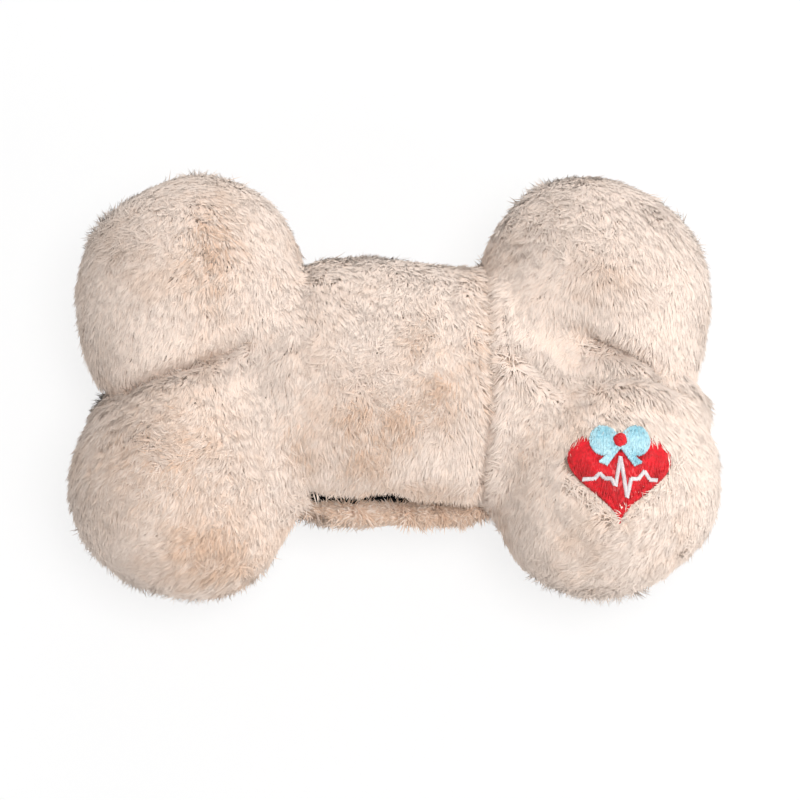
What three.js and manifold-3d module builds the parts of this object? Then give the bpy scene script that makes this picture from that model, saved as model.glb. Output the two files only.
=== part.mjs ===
// Bone-shaped plush pillow for a puppy, with a pocket that holds a heartbeat module.
// Millimetres, +Z up. It lies on its back: X runs along the bone and the pocket opens towards -Y.
// The origin is on the table under the middle of the bone.

import * as THREE from 'three';
import { mergeVertices } from 'three/addons/utils/BufferGeometryUtils.js';
import Module from 'manifold-3d';

const wasm = await Module();
wasm.setup();

// Clearances that every piece shares
const seatGap = 0.3;
const slideGap = 0.2;

// Plush: four knobs and the shaft between them, pressed flat where they lie on the table
const flatDepth = 0.5;
const coverWall = 5;
const knobCentreX = 96;
const knobCentreY = 45.5;
const knobRadius = 54;
const knobHalfHeight = 48.5;
const notchX = 137;
const notchSpreadShare = 0.35;
const shaftHalfLength = 88;
const shaftHalfDepth = 61;
const shaftHalfHeight = 46.5;
const shaftSag = 2;
const shaftBlunt = 3.2;

// Heartbeat module, a flat pod of two moulded halves, as long as its cells and their contacts need
const podEndRoom = 10.75;
const podDepth = 50;
const podHeight = 18;
const podCorner = 12;
const podEdge = 3;
const podWall = 2;
const partingHeight = 9;

// Pocket between the middle's back and front halves, with its lining and its two closing strips
const pocketFloorHeight = 42;
const pocketSideSlack = 7;
const pocketHeadroom = 0.6;
const podInset = 36;
const liningWall = 1.2;
const stripDepth = 10;
const stripWall = 1.2;
const stripEndInset = 2;

// Flap over the pocket's mouth
const mouthReach = 56.5;
const flapHingeReach = 25;
const flapWall = 7.5;
const hemHeightAbovePod = 1.3;
const loopStripInset = 8;

// Embroidery on one knob: a heart, a pulse line across it and a bow at its notch
const stitchDepth = 1;
const heartWidth = 46;
const heartHeight = 40;
const heartOffsetX = 3.5;
const heartOffsetY = -9;
const pulseWidth = 1.6;
const bowSpan = 27;
const bowLoopHeight = 12;
const bowTailLength = 10;
const bowTailWidth = 4;
const bowKnotRadius = 3.2;

// Two cells, end to end with their contacts, side by side in the pod
const cellRadius = 5.25;
const cellLength = 44.5;
const cellNubRadius = 1.9;
const cellNubLength = 1.3;
const cellEdge = 0.5;
const contactSpace = 3.3;
const contactWall = 0.5;
const contactHeight = 9;
const contactWidth = 8.6;
const springWire = 0.35;
const springBaseRadius = 3.4;
const springTipRadius = 2.2;
const springTurns = 2.5;
const dimpleBaseRadius = 3.2;
const dimpleTipRadius = 1.6;
const bayRib = 1.2;

// Sliding battery door in the pod's floor
const doorWall = 1.5;
const doorTongue = 1.4;
const doorTongueWall = 0.6;
const doorSideMargin = 0.8;
const gripWidth = 12;
const gripGroove = 0.8;
const gripDepth = 0.4;
const gripPitch = 2;
const gripCount = 4;

// Circuit board with its chip, switch and the motor's cradle
const boardEndMargin = 12;
const boardBackMargin = 2.4;
const boardWall = 1.2;
const boardLift = 1.2;
const postRadius = 1.8;
const postInset = 3;
const chipLength = 5;
const chipDepth = 6;
const chipHeight = 1.3;
const chipX = -3.2;
const switchSide = 6;
const switchHeight = 3.2;
const switchStemRadius = 1.7;
const switchStemHeight = 1.2;
const buttonX = -13;

// Rubber push button over the switch
const buttonBackMargin = 3.3;
const buttonFlange = 1.6;
const buttonFlangeWall = 1.2;
const buttonProud = 0.3;
const buttonDome = 0.5;
const buttonShoulderShare = 0.33;
const buttonStemRadius = 2.2;
const buttonTravel = 1.2;
const buttonRing = 2;
const buttonRingDepth = 0.4;

// Motor with an eccentric weight
const motorRadius = 4.3;
const motorLength = 12;
const motorX = 2.6;
const motorEdge = 0.5;
const motorBossRadius = 2;
const motorBossLength = 0.8;
const cradleLength = 9;
const cradleWall = 1.1;
const cradleFloor = 0.8;
const axleRadius = 0.75;
const axleBuried = 3;
const axleLength = 9;
const weightRadius = 4.1;
const weightLength = 4.5;
const weightHub = 1.9;

// Two screws that close the pod
const screwSideInset = 7.7;
const screwBackInset = 8.4;
const screwRadius = 1.2;
const screwHeadRadius = 2.1;
const screwHeadHeight = 1.6;
const screwSink = 0.8;
const screwLength = 10;
const screwSlot = 0.7;
const screwSlotDepth = 0.7;
const screwBossRadius = 3;
const holdDownRib = 1.2;
const holdDownShare = 0.25;
const tongueWidth = 16;
const tongueWall = 0.9;
const tongueDrop = 2;

// Leads between the cells' contacts, the board and the motor
const leadRadius = 0.45;

// Colours and finishes
const fur = { color: 0xe9d8cb, roughness: 1, metalness: 0 };
const furWarm = { color: 0xe2cbbb, roughness: 1, metalness: 0 };
const wadding = { color: 0xf4f3ef, roughness: 1, metalness: 0 };
const liningCloth = { color: 0xe4dccf, roughness: 0.95, metalness: 0 };
const blackTape = { color: 0x141416, roughness: 0.95, metalness: 0 };
const redThread = { color: 0xd61c2e, roughness: 0.7, metalness: 0 };
const whiteThread = { color: 0xf6f3f2, roughness: 0.7, metalness: 0 };
const blueThread = { color: 0x9fdcec, roughness: 0.7, metalness: 0 };
const whitePlastic = { color: 0xf0efec, roughness: 0.5, metalness: 0 };
const redRubber = { color: 0xc9202c, roughness: 0.75, metalness: 0 };
const steel = { color: 0xb9bcc0, roughness: 0.35, metalness: 0.9 };
const cellSleeve = { color: 0x2f4f3a, roughness: 0.45, metalness: 0.1 };
const board = { color: 0x1d6b3c, roughness: 0.5, metalness: 0 };
const blackPlastic = { color: 0x1b1b1d, roughness: 0.55, metalness: 0 };
const brass = { color: 0xc9a24a, roughness: 0.4, metalness: 0.9 };
const redSleeve = { color: 0xb3202a, roughness: 0.6, metalness: 0 };
const blackSleeve = { color: 0x202022, roughness: 0.6, metalness: 0 };

const group = new THREE.Group();

// Solids and meshes

function toSolid(geometry) {
  const bare = geometry.clone();
  bare.deleteAttribute('normal');
  bare.deleteAttribute('uv');
  const merged = mergeVertices(bare);
  const mesh = new wasm.Mesh({
    numProp: 3,
    vertProperties: Float32Array.from(merged.attributes.position.array),
    triVerts: Uint32Array.from(merged.index.array),
  });
  return new wasm.Manifold(mesh);
}

function toGeometry(solid) {
  const mesh = solid.getMesh();
  const geometry = new THREE.BufferGeometry();
  geometry.setAttribute('position', new THREE.BufferAttribute(Float32Array.from(mesh.vertProperties), 3));
  geometry.setIndex(new THREE.BufferAttribute(Uint32Array.from(mesh.triVerts), 1));
  const faceted = geometry.toNonIndexed();
  faceted.computeVertexNormals();
  return faceted;
}

function addPiece(name, solid, finish, parent = group) {
  const mesh = new THREE.Mesh(toGeometry(solid), new THREE.MeshStandardMaterial(finish));
  mesh.name = name;
  parent.add(mesh);
  return mesh;
}

function block(xLow, xHigh, yLow, yHigh, zLow, zHigh) {
  const geometry = new THREE.BoxGeometry(xHigh - xLow, yHigh - yLow, zHigh - zLow);
  geometry.translate((xLow + xHigh) / 2, (yLow + yHigh) / 2, (zLow + zHigh) / 2);
  return toSolid(geometry);
}

function uprightRod(x, y, radius, zLow, zHigh, sides = 20) {
  const geometry = new THREE.CylinderGeometry(radius, radius, zHigh - zLow, sides);
  geometry.rotateX(Math.PI / 2);
  geometry.translate(x, y, (zLow + zHigh) / 2);
  return toSolid(geometry);
}

// A profile of (radius, distance) points turned about a line along X
function turnedAlongX(profile, x, y, z, sides = 20) {
  const geometry = new THREE.LatheGeometry(profile, sides);
  geometry.rotateZ(-Math.PI / 2);
  geometry.translate(x, y, z);
  return toSolid(geometry);
}

// A closed form from rows of points between two poles; pointAt takes two shares from 0 to 1
function softForm(rows, columns, pointAt) {
  const points = [pointAt(0, 0)];
  for (let row = 1; row < rows; row += 1) {
    for (let column = 0; column < columns; column += 1) {
      points.push(pointAt(row / rows, column / columns));
    }
  }
  points.push(pointAt(1, 0));
  const last = points.length - 1;
  const at = (row, column) => 1 + (row - 1) * columns + (column % columns);
  const faces = [];
  for (let column = 0; column < columns; column += 1) {
    faces.push(0, at(1, column + 1), at(1, column));
    faces.push(last, at(rows - 1, column), at(rows - 1, column + 1));
    for (let row = 1; row < rows - 1; row += 1) {
      faces.push(at(row, column), at(row, column + 1), at(row + 1, column + 1));
      faces.push(at(row, column), at(row + 1, column + 1), at(row + 1, column));
    }
  }
  const geometry = new THREE.BufferGeometry();
  geometry.setAttribute('position', new THREE.Float32BufferAttribute(points.flatMap((p) => p.toArray()), 3));
  geometry.setIndex(faces);
  const solid = toSolid(geometry);
  return solid.volume() > 0 ? solid : toSolid(turnedInsideOut(geometry));
}

function turnedInsideOut(geometry) {
  const flipped = geometry.clone();
  const index = Array.from(geometry.index.array);
  for (let i = 0; i < index.length; i += 3) {
    [index[i], index[i + 1]] = [index[i + 1], index[i]];
  }
  flipped.setIndex(index);
  return flipped;
}

// Forms of the plush

const knobMiddleZ = knobHalfHeight - flatDepth;
const shaftMiddleZ = shaftHalfHeight - flatDepth;
const notchAngle = Math.atan2(-knobCentreY, notchX - knobCentreX);
const notchRadius = Math.hypot(knobCentreY, notchX - knobCentreX);

// The knob's outline seen from above swells towards the notch, where two knobs meet at the bone's end
function knobPlanRadius(angle) {
  const away = Math.atan2(Math.sin(angle - notchAngle), Math.cos(angle - notchAngle));
  const swell = Math.exp(-(away * away) / (2 * notchSpreadShare * notchSpreadShare));
  return knobRadius + (notchRadius - knobRadius) * swell;
}

// sideX and sideY are 1 or -1; grown moves the surface out, or in where it is negative
function knobForm(sideX, sideY, grown, rows, columns) {
  return softForm(rows, columns, (down, around) => {
    const tilt = (0.5 - down) * Math.PI;
    const angle = around * 2 * Math.PI;
    const reach = (knobPlanRadius(angle) + grown) * Math.cos(tilt);
    return new THREE.Vector3(
      sideX * (knobCentreX + reach * Math.cos(angle)),
      sideY * (knobCentreY + reach * Math.sin(angle)),
      knobMiddleZ + (knobHalfHeight + grown) * Math.sin(tilt),
    );
  });
}

function shaftForm(grown, rows, columns) {
  return softForm(rows, columns, (along, around) => {
    const xShare = Math.sin((along - 0.5) * Math.PI);
    const widthShare = Math.sqrt(Math.max(0, 1 - Math.abs(xShare) ** shaftBlunt));
    const angle = around * 2 * Math.PI;
    return new THREE.Vector3(
      xShare * (shaftHalfLength + grown),
      -shaftSag + widthShare * (shaftHalfDepth + grown) * Math.cos(angle),
      shaftMiddleZ + widthShare * (shaftHalfHeight + grown) * Math.sin(angle),
    );
  });
}

const far = notchX + knobRadius;
const belowTable = block(-far, far, -far, far, -far, 0);
const outerRows = 11;
const outerColumns = 24;
const innerRows = 7;
const innerColumns = 16;
const shaftRows = 18;
const shaftColumns = 30;
const shaftInnerRows = 12;
const shaftInnerColumns = 22;

// Knobs: a fur cover open towards the shaft, and the wadding inside it

const shaftOutside = shaftForm(0, shaftRows, shaftColumns);
const shaftSocket = shaftForm(seatGap, shaftRows, shaftColumns);

const knobSides = [
  ['upper_left', -1, 1],
  ['lower_left', -1, -1],
  ['upper_right', 1, 1],
  ['lower_right', 1, -1],
];

for (const [place, sideX, sideY] of knobSides) {
  const pastMiddle = sideY > 0
    ? block(-far, far, -far, seatGap / 2, -far, far)
    : block(-far, far, -seatGap / 2, far, -far, far);
  const outside = knobForm(sideX, sideY, 0, outerRows, outerColumns);
  const inside = knobForm(sideX, sideY, -coverWall, innerRows, innerColumns);
  const stuffed = knobForm(sideX, sideY, -coverWall - seatGap, innerRows, innerColumns);
  const aboveCoverFloor = block(-far, far, -far, far, -far, coverWall);
  const aboveWadding = block(-far, far, -far, far, -far, coverWall + seatGap);
  const cover = outside
    .subtract(inside.subtract(aboveCoverFloor))
    .subtract(pastMiddle)
    .subtract(shaftSocket)
    .subtract(belowTable);
  const filling = stuffed
    .subtract(aboveWadding)
    .subtract(pastMiddle)
    .subtract(shaftSocket);
  addPiece(`${place}_knob_cover`, cover, fur);
  addPiece(`${place}_knob_filling`, filling, wadding);
}

// Pocket and pod places, from the pod's size

const podLength = cellLength + 2 * podEndRoom;
const podBottomZ = pocketFloorHeight + seatGap;
const pocketCeilingZ = podBottomZ + podHeight + pocketHeadroom;
const pocketHalfWidth = podLength / 2 + pocketSideSlack;
const podFrontY = -mouthReach + podInset;
const podMiddleY = podFrontY + podDepth / 2;
const pocketEndY = podFrontY + podDepth + seatGap;
const middleHalf = pocketHalfWidth + liningWall;
const endStart = middleHalf + seatGap;
const backTopZ = pocketFloorHeight - liningWall - seatGap;
const frontBottomZ = pocketCeilingZ + liningWall + seatGap;
const rearStartY = pocketEndY + liningWall + seatGap;
const stripFrontY = -mouthReach + stripEndInset;
const stripBackY = stripFrontY + stripDepth;

// Shaft: two end sections, and a middle in back and front halves with the pocket between them

const shaftHollow = shaftForm(-coverWall, shaftInnerRows, shaftInnerColumns);
const shaftStuffing = shaftForm(-coverWall - seatGap, shaftInnerRows, shaftInnerColumns);
const belowWadding = block(-far, far, -far, far, -far, coverWall + seatGap);
const shaftShell = shaftOutside
  .subtract(shaftHollow.subtract(block(-far, far, -far, far, -far, coverWall)))
  .subtract(belowTable);
const shaftWadding = shaftStuffing.subtract(belowWadding);

for (const [place, xLow, xHigh] of [['left', -far, -endStart], ['right', endStart, far]]) {
  const section = block(xLow, xHigh, -far, far, -far, far);
  addPiece(`${place}_end_cover`, shaftShell.intersect(section), furWarm);
  addPiece(`${place}_end_filling`, shaftWadding.intersect(section), wadding);
}

const middle = block(-middleHalf, middleHalf, -far, far, -far, far);
const backHalf = block(-middleHalf, middleHalf, -far, far, -far, backTopZ);
const lowerLip = block(-middleHalf, middleHalf, -far, stripFrontY - seatGap, 0, pocketFloorHeight);
addPiece('middle_back_cover', shaftShell.intersect(backHalf.add(lowerLip)), fur);
addPiece('middle_back_filling', shaftWadding.intersect(backHalf), wadding);

const behindHinge = block(-middleHalf, middleHalf, -flapHingeReach, far, backTopZ + seatGap, far);
addPiece('middle_front_cover', shaftShell.intersect(behindHinge), fur);
const overPocket = block(-middleHalf, middleHalf, -flapHingeReach, far, frontBottomZ, far);
addPiece('middle_front_filling', shaftWadding.intersect(overPocket), wadding);
const behindPocket = block(
  -middleHalf, middleHalf, rearStartY, far, backTopZ + seatGap, frontBottomZ - seatGap,
);
addPiece('pocket_rear_filling', shaftWadding.intersect(behindPocket), wadding);

// Pocket lining: a sleeve closed at its far end, whose ceiling stops at the flap's hinge line

const liningOutside = block(
  -middleHalf, middleHalf, stripBackY + seatGap, pocketEndY + liningWall,
  pocketFloorHeight - liningWall, pocketCeilingZ + liningWall,
);
const liningInside = block(
  -pocketHalfWidth, pocketHalfWidth, -far, pocketEndY, pocketFloorHeight, pocketCeilingZ,
);
const underFlap = block(-far, far, -far, -flapHingeReach, pocketCeilingZ, far);
addPiece('pocket_lining', liningOutside.subtract(liningInside).subtract(underFlap), liningCloth);

// Flap over the mouth, and the two closing strips

const hemZ = podBottomZ + podHeight + hemHeightAbovePod;
const flapZone = block(-middleHalf, middleHalf, -mouthReach, -flapHingeReach - seatGap, hemZ, far);
const underFlapForm = shaftForm(-flapWall, shaftInnerRows, shaftInnerColumns);
addPiece('pocket_flap', shaftOutside.subtract(underFlapForm).intersect(flapZone), fur);

const stripHalf = pocketHalfWidth - stripEndInset;
const hookStrip = block(
  -stripHalf, stripHalf, stripFrontY, stripBackY, pocketFloorHeight - stripWall, pocketFloorHeight,
);
addPiece('hook_strip', hookStrip, blackTape);

const loopFrontY = -mouthReach + loopStripInset;
const loopZone = block(-stripHalf, stripHalf, loopFrontY, loopFrontY + stripDepth, hemZ, far);
const loopOutside = shaftForm(-flapWall - seatGap, shaftInnerRows, shaftInnerColumns);
const loopInside = shaftForm(-flapWall - seatGap - stripWall, shaftInnerRows, shaftInnerColumns);
addPiece('loop_strip', loopOutside.subtract(loopInside).intersect(loopZone), blackTape);

// Embroidery, each layer a slice that follows the lower right knob

const heartX = knobCentreX + heartOffsetX;
const heartY = -knobCentreY + heartOffsetY;

function stitched(prism, layer) {
  const under = seatGap + layer * (stitchDepth + seatGap);
  const top = knobForm(1, -1, under + stitchDepth, outerRows, outerColumns);
  const bottom = knobForm(1, -1, under, outerRows, outerColumns);
  const upperSide = block(-far, far, -far, far, knobMiddleZ, far);
  return prism.intersect(top).subtract(bottom).intersect(upperSide);
}

function prismOf(shape) {
  const geometry = new THREE.ExtrudeGeometry(shape, { depth: far, bevelEnabled: false, curveSegments: 8 });
  geometry.translate(heartX, heartY, 0);
  return toSolid(geometry);
}

// The textbook heart curve, a sum of four cosine waves, scaled to the width and height wanted
const heartWaves = [13, -5, -2, -1];

function heartShape() {
  const steps = 40;
  const raw = [];
  for (let i = 0; i < steps; i += 1) {
    const t = (i / steps) * 2 * Math.PI;
    const y = heartWaves.reduce((sum, size, wave) => sum + size * Math.cos((wave + 1) * t), 0);
    raw.push(new THREE.Vector2(Math.sin(t) ** 3, y));
  }
  const low = Math.min(...raw.map((p) => p.y));
  const high = Math.max(...raw.map((p) => p.y));
  const scaled = raw.map((p) => new THREE.Vector2(
    (p.x * heartWidth) / 2,
    ((p.y - (low + high) / 2) * heartHeight) / (high - low),
  ));
  return new THREE.Shape(scaled);
}
addPiece('heart_patch', stitched(prismOf(heartShape()), 0), redThread);

// One beat of a pulse, in shares of the heart's width and height: a small wave, the spike, a wave
const pulseShares = [
  [-0.36, 0], [-0.25, 0], [-0.2, 0.06], [-0.15, 0], [-0.09, 0], [-0.05, -0.08],
  [0, 0.24], [0.06, -0.2], [0.1, 0], [0.17, 0], [0.23, 0.09], [0.28, 0], [0.36, 0],
];
const pulseDropShare = 0.03;
let pulse = null;
for (let i = 0; i + 1 < pulseShares.length; i += 1) {
  const [from, to] = [pulseShares[i], pulseShares[i + 1]].map(([u, v]) => new THREE.Vector2(
    heartX + u * heartWidth,
    heartY + (v - pulseDropShare) * heartHeight,
  ));
  const run = to.clone().sub(from);
  const bar = new THREE.BoxGeometry(run.length(), pulseWidth, far);
  bar.rotateZ(run.angle());
  bar.translate((from.x + to.x) / 2, (from.y + to.y) / 2, far / 2);
  const joint = uprightRod(to.x, to.y, pulseWidth / 2, 0, far, 8);
  const stretch = toSolid(bar).add(joint);
  pulse = pulse ? pulse.add(stretch) : stretch;
}
addPiece('pulse_line', stitched(pulse, 1), whiteThread);

// The bow sits level over the heart's notch: two loops and two tails, then a round knot
const bowRiseShare = 0.4;
const bowY = heartHeight * bowRiseShare;

function bowHalf(side) {
  const shape = new THREE.Shape();
  const reach = (side * bowSpan) / 2;
  shape.moveTo(0, bowY - bowTailWidth / 2);
  shape.bezierCurveTo(reach / 2, bowY - bowLoopHeight, reach, bowY - bowLoopHeight / 2, reach, bowY);
  shape.bezierCurveTo(reach, bowY + bowLoopHeight / 2, reach / 2, bowY + bowLoopHeight,
    0, bowY + bowTailWidth / 2);
  shape.closePath();
  const tail = new THREE.Shape();
  tail.moveTo(0, bowY + bowTailWidth / 2);
  tail.lineTo(side * bowTailLength, bowY - bowTailLength);
  tail.lineTo(side * (bowTailLength - bowTailWidth), bowY - bowTailLength - bowTailWidth / 2);
  tail.lineTo(0, bowY - bowTailWidth);
  tail.closePath();
  return prismOf(shape).add(prismOf(tail));
}
const bow = bowHalf(1).add(bowHalf(-1));
addPiece('bow_ribbon', stitched(bow, 1).subtract(roomRoundPulse()), blueThread);

// Room for the pulse line's spike, which the bow's tails may come near
function roomRoundPulse() {
  const box = stitched(pulse, 1).boundingBox();
  const middleX = (box.min[0] + box.max[0]) / 2;
  return block(middleX - pulseWidth, middleX + pulseWidth, box.min[1], box.max[1] + seatGap, 0, far);
}
const knot = uprightRod(heartX, heartY + bowY, bowKnotRadius, 0, far, 16);
addPiece('bow_knot', stitched(knot, 2), redThread);

// Heartbeat module, in a frame of its own on the pod's underside

const pod = new THREE.Group();
pod.position.set(0, podMiddleY, podBottomZ);
group.add(pod);

function podForm(inset) {
  const halfX = podLength / 2 - inset - podEdge;
  const halfY = podDepth / 2 - inset - podEdge;
  const corner = Math.max(podCorner - inset - podEdge, podEdge);
  const shape = new THREE.Shape();
  shape.moveTo(halfX - corner, -halfY);
  shape.absarc(halfX - corner, -halfY + corner, corner, -Math.PI / 2, 0);
  shape.absarc(halfX - corner, halfY - corner, corner, 0, Math.PI / 2);
  shape.absarc(-halfX + corner, halfY - corner, corner, Math.PI / 2, Math.PI);
  shape.absarc(-halfX + corner, -halfY + corner, corner, Math.PI, Math.PI * 1.5);
  shape.closePath();
  const geometry = new THREE.ExtrudeGeometry(shape, {
    depth: podHeight - 2 * (inset + podEdge),
    bevelEnabled: true,
    bevelThickness: podEdge,
    bevelSize: podEdge,
    bevelSegments: 3,
    curveSegments: 4,
  });
  geometry.translate(0, 0, inset + podEdge);
  return toSolid(geometry);
}

const podOutside = podForm(0);
const podInside = podForm(podWall);
const podShell = podOutside.subtract(podInside);
const podFar = podLength;
const podTopInside = podHeight - podWall;

// Battery bay: the cells lie along X, side by side behind the pod's front wall
const cellZ = doorWall + seatGap + cellRadius;
const frontCellY = -podDepth / 2 + podWall + tongueWall + 2 * seatGap + cellRadius;
const rearCellY = frontCellY + 2 * cellRadius + seatGap;
const bayHalf = cellLength / 2 + contactSpace;
const bayEnd = bayHalf + contactWall + seatGap;
const bayRearY = rearCellY + cellRadius + seatGap;
const doorHalf = cellLength / 2 + doorSideMargin;
const doorBackY = bayRearY - seatGap;

// Board bay: the board stands on posts behind the cells
const boardFrontY = bayRearY + bayRib + seatGap;
const boardBackY = podDepth / 2 - podWall - boardBackMargin;
const boardLength = podLength - 2 * boardEndMargin;
const boardDepth = boardBackY - boardFrontY;
const boardY = (boardFrontY + boardBackY) / 2;
const boardZ = podWall + boardLift + seatGap;
const boardTopZ = boardZ + boardWall;

const screwX = podLength / 2 - screwSideInset;
const screwY = podDepth / 2 - screwBackInset;

// Lower half of the pod
const lowerHalf = block(-podFar, podFar, -podFar, podFar, -podFar, partingHeight - seatGap / 2);
let lowerCase = podShell.intersect(lowerHalf);
for (const side of [-1, 1]) {
  const ribLow = Math.min(side * bayEnd, side * (bayEnd + bayRib));
  const endRib = block(
    ribLow, ribLow + bayRib, frontCellY - cellRadius / 2, bayRearY, 0, partingHeight - seatGap,
  );
  lowerCase = lowerCase.add(endRib.intersect(podOutside));
}
const rearRib = block(
  -bayEnd - bayRib, bayEnd + bayRib, bayRearY, bayRearY + bayRib, 0, partingHeight - seatGap,
);
lowerCase = lowerCase.add(rearRib.intersect(podOutside));
for (const side of [-1, 1]) {
  for (const end of [-1, 1]) {
    const postX = side * (boardLength / 2 - postInset);
    const postY = boardY + end * (boardDepth / 2 - postInset);
    const post = uprightRod(postX, postY, postRadius, 0, boardZ - seatGap, 12);
    lowerCase = lowerCase.add(post.intersect(podOutside));
  }
  lowerCase = lowerCase.add(
    uprightRod(side * screwX, screwY, screwBossRadius, 0, partingHeight - seatGap / 2).intersect(podOutside),
  );
}
const doorway = block(
  -doorHalf - seatGap, doorHalf + seatGap, -podFar, doorBackY + seatGap, -podFar, doorWall + seatGap,
);
const grooveMiddle = doorWall / 2;
const groove = block(
  -doorHalf - doorTongue - seatGap, doorHalf + doorTongue + seatGap, -podFar, doorBackY + seatGap,
  grooveMiddle - doorTongueWall / 2 - slideGap, grooveMiddle + doorTongueWall / 2 + slideGap,
);
const bayOpening = block(
  -doorHalf - seatGap, doorHalf + seatGap, frontCellY - cellRadius - seatGap, doorBackY + seatGap,
  -podFar, podWall + seatGap,
);
lowerCase = lowerCase.subtract(doorway).subtract(groove).subtract(bayOpening);
const headSeatZ = screwSink + screwHeadHeight + seatGap;
for (const side of [-1, 1]) {
  lowerCase = lowerCase
    .subtract(uprightRod(side * screwX, screwY, screwHeadRadius + seatGap, -podFar, headSeatZ))
    .subtract(uprightRod(side * screwX, screwY, screwRadius + seatGap, 0, podFar));
}
addPiece('lower_case', lowerCase, whitePlastic, pod);

// Upper half of the pod, with the button's hole, pillars for the screws and ribs over the cells
const upperHalf = block(-podFar, podFar, -podFar, podFar, partingHeight + seatGap / 2, podFar);
let upperCase = podShell.intersect(upperHalf);
for (const side of [-1, 1]) {
  const pillar = uprightRod(side * screwX, screwY, screwBossRadius, partingHeight + seatGap / 2, podHeight);
  upperCase = upperCase.add(pillar.intersect(podOutside));
  const ribX = side * cellLength * holdDownShare;
  const rib = block(
    ribX - holdDownRib / 2, ribX + holdDownRib / 2, frontCellY - cellRadius, rearCellY + cellRadius,
    cellZ + cellRadius + seatGap, podHeight,
  );
  upperCase = upperCase.add(rib.intersect(podOutside));
}
const tongueBackY = frontCellY - cellRadius - seatGap;
const tongue = block(
  -tongueWidth / 2, tongueWidth / 2, tongueBackY - tongueWall, tongueBackY,
  partingHeight - tongueDrop, partingHeight + seatGap,
);
const tongueRoot = block(
  -tongueWidth / 2, tongueWidth / 2, -podDepth / 2 + podWall / 2, tongueBackY,
  partingHeight + seatGap / 2, partingHeight + tongueDrop,
);
upperCase = upperCase.add(tongue).add(tongueRoot.intersect(podOutside));
for (const side of [-1, 1]) {
  upperCase = upperCase.subtract(
    uprightRod(side * screwX, screwY, screwRadius + seatGap, 0, headSeatZ + screwLength + seatGap),
  );
}
const buttonY = boardY;
const buttonRadius = podDepth / 2 - podWall - buttonBackMargin - buttonFlange - buttonY;
upperCase = upperCase
  .subtract(uprightRod(buttonX, buttonY, buttonRadius + seatGap, partingHeight, podFar, 32))
  .subtract(uprightRod(buttonX, buttonY, buttonRadius + buttonRing, podHeight - buttonRingDepth, podFar, 32));
addPiece('upper_case', upperCase, whitePlastic, pod);

// Battery door: a plate with a tongue along each side and grip grooves underneath
const doorPlate = block(-doorHalf, doorHalf, -podFar, doorBackY, -podFar, doorWall).intersect(podOutside);
const doorTongues = block(
  -doorHalf - doorTongue, doorHalf + doorTongue, -podFar, doorBackY,
  grooveMiddle - doorTongueWall / 2, grooveMiddle + doorTongueWall / 2,
).intersect(podOutside);
let door = doorPlate.add(doorTongues);
for (let i = 0; i < gripCount; i += 1) {
  const grooveY = frontCellY + i * gripPitch;
  door = door.subtract(block(
    -gripWidth / 2, gripWidth / 2, grooveY, grooveY + gripGroove, -podFar, gripDepth,
  ));
}
addPiece('battery_door', door, whitePlastic, pod);

// Cells, each a sleeve with a nub at its positive end
function cell(y, towards) {
  const half = cellLength / 2;
  const shoulder = half - cellNubLength;
  const profile = [
    [0, -half], [cellRadius - cellEdge, -half], [cellRadius, -half + cellEdge],
    [cellRadius, shoulder - cellEdge], [cellRadius - cellEdge, shoulder],
    [cellNubRadius, shoulder], [cellNubRadius, half], [0, half],
  ].map(([radius, along]) => new THREE.Vector2(radius, along * towards));
  return turnedAlongX(towards > 0 ? profile : profile.reverse(), 0, y, cellZ, 22);
}
addPiece('front_cell', cell(frontCellY, 1), cellSleeve, pod);
addPiece('rear_cell', cell(rearCellY, -1), cellSleeve, pod);

// Contacts: plates against the bay's end ribs, with a coiled spring or a pressed dimple for each cell
function contactPlate(side, yLow, yHigh) {
  const near = side * bayHalf;
  const away = side * (bayHalf + contactWall);
  return block(
    Math.min(near, away), Math.max(near, away), yLow, yHigh,
    cellZ - contactHeight / 2, cellZ + contactHeight / 2,
  );
}

function contactSpring(side, y) {
  const stepsInTurn = 8;
  const sides = 5;
  const steps = Math.round(springTurns * stepsInTurn);
  const start = bayHalf + contactWall / 2;
  const finish = cellLength / 2 + seatGap + springWire;
  const rings = [];
  for (let i = 0; i <= steps; i += 1) {
    const share = i / steps;
    const angle = share * springTurns * 2 * Math.PI;
    const radius = springBaseRadius + (springTipRadius - springBaseRadius) * share;
    const centre = new THREE.Vector3(
      side * (start + (finish - start) * share),
      y + radius * Math.cos(angle),
      cellZ + radius * Math.sin(angle),
    );
    const outward = new THREE.Vector3(0, Math.cos(angle), Math.sin(angle));
    const along = new THREE.Vector3(side, 0, 0);
    rings.push(Array.from({ length: sides }, (_, k) => {
      const turn = (k / sides) * 2 * Math.PI;
      return centre.clone()
        .addScaledVector(outward, springWire * Math.cos(turn))
        .addScaledVector(along, springWire * Math.sin(turn));
    }));
  }
  return ringsToSolid(rings);
}

function ringsToSolid(rings) {
  const sides = rings[0].length;
  const points = rings.flat();
  const faces = [];
  for (let i = 0; i + 1 < rings.length; i += 1) {
    for (let k = 0; k < sides; k += 1) {
      const a = i * sides + k;
      const b = i * sides + ((k + 1) % sides);
      faces.push(a, b, b + sides, a, b + sides, a + sides);
    }
  }
  const last = (rings.length - 1) * sides;
  for (let k = 1; k + 1 < sides; k += 1) {
    faces.push(0, k + 1, k);
    faces.push(last, last + k, last + k + 1);
  }
  const geometry = new THREE.BufferGeometry();
  geometry.setAttribute('position', new THREE.Float32BufferAttribute(points.flatMap((p) => p.toArray()), 3));
  geometry.setIndex(faces);
  const solid = toSolid(geometry);
  return solid.volume() > 0 ? solid : toSolid(turnedInsideOut(geometry));
}

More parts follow.
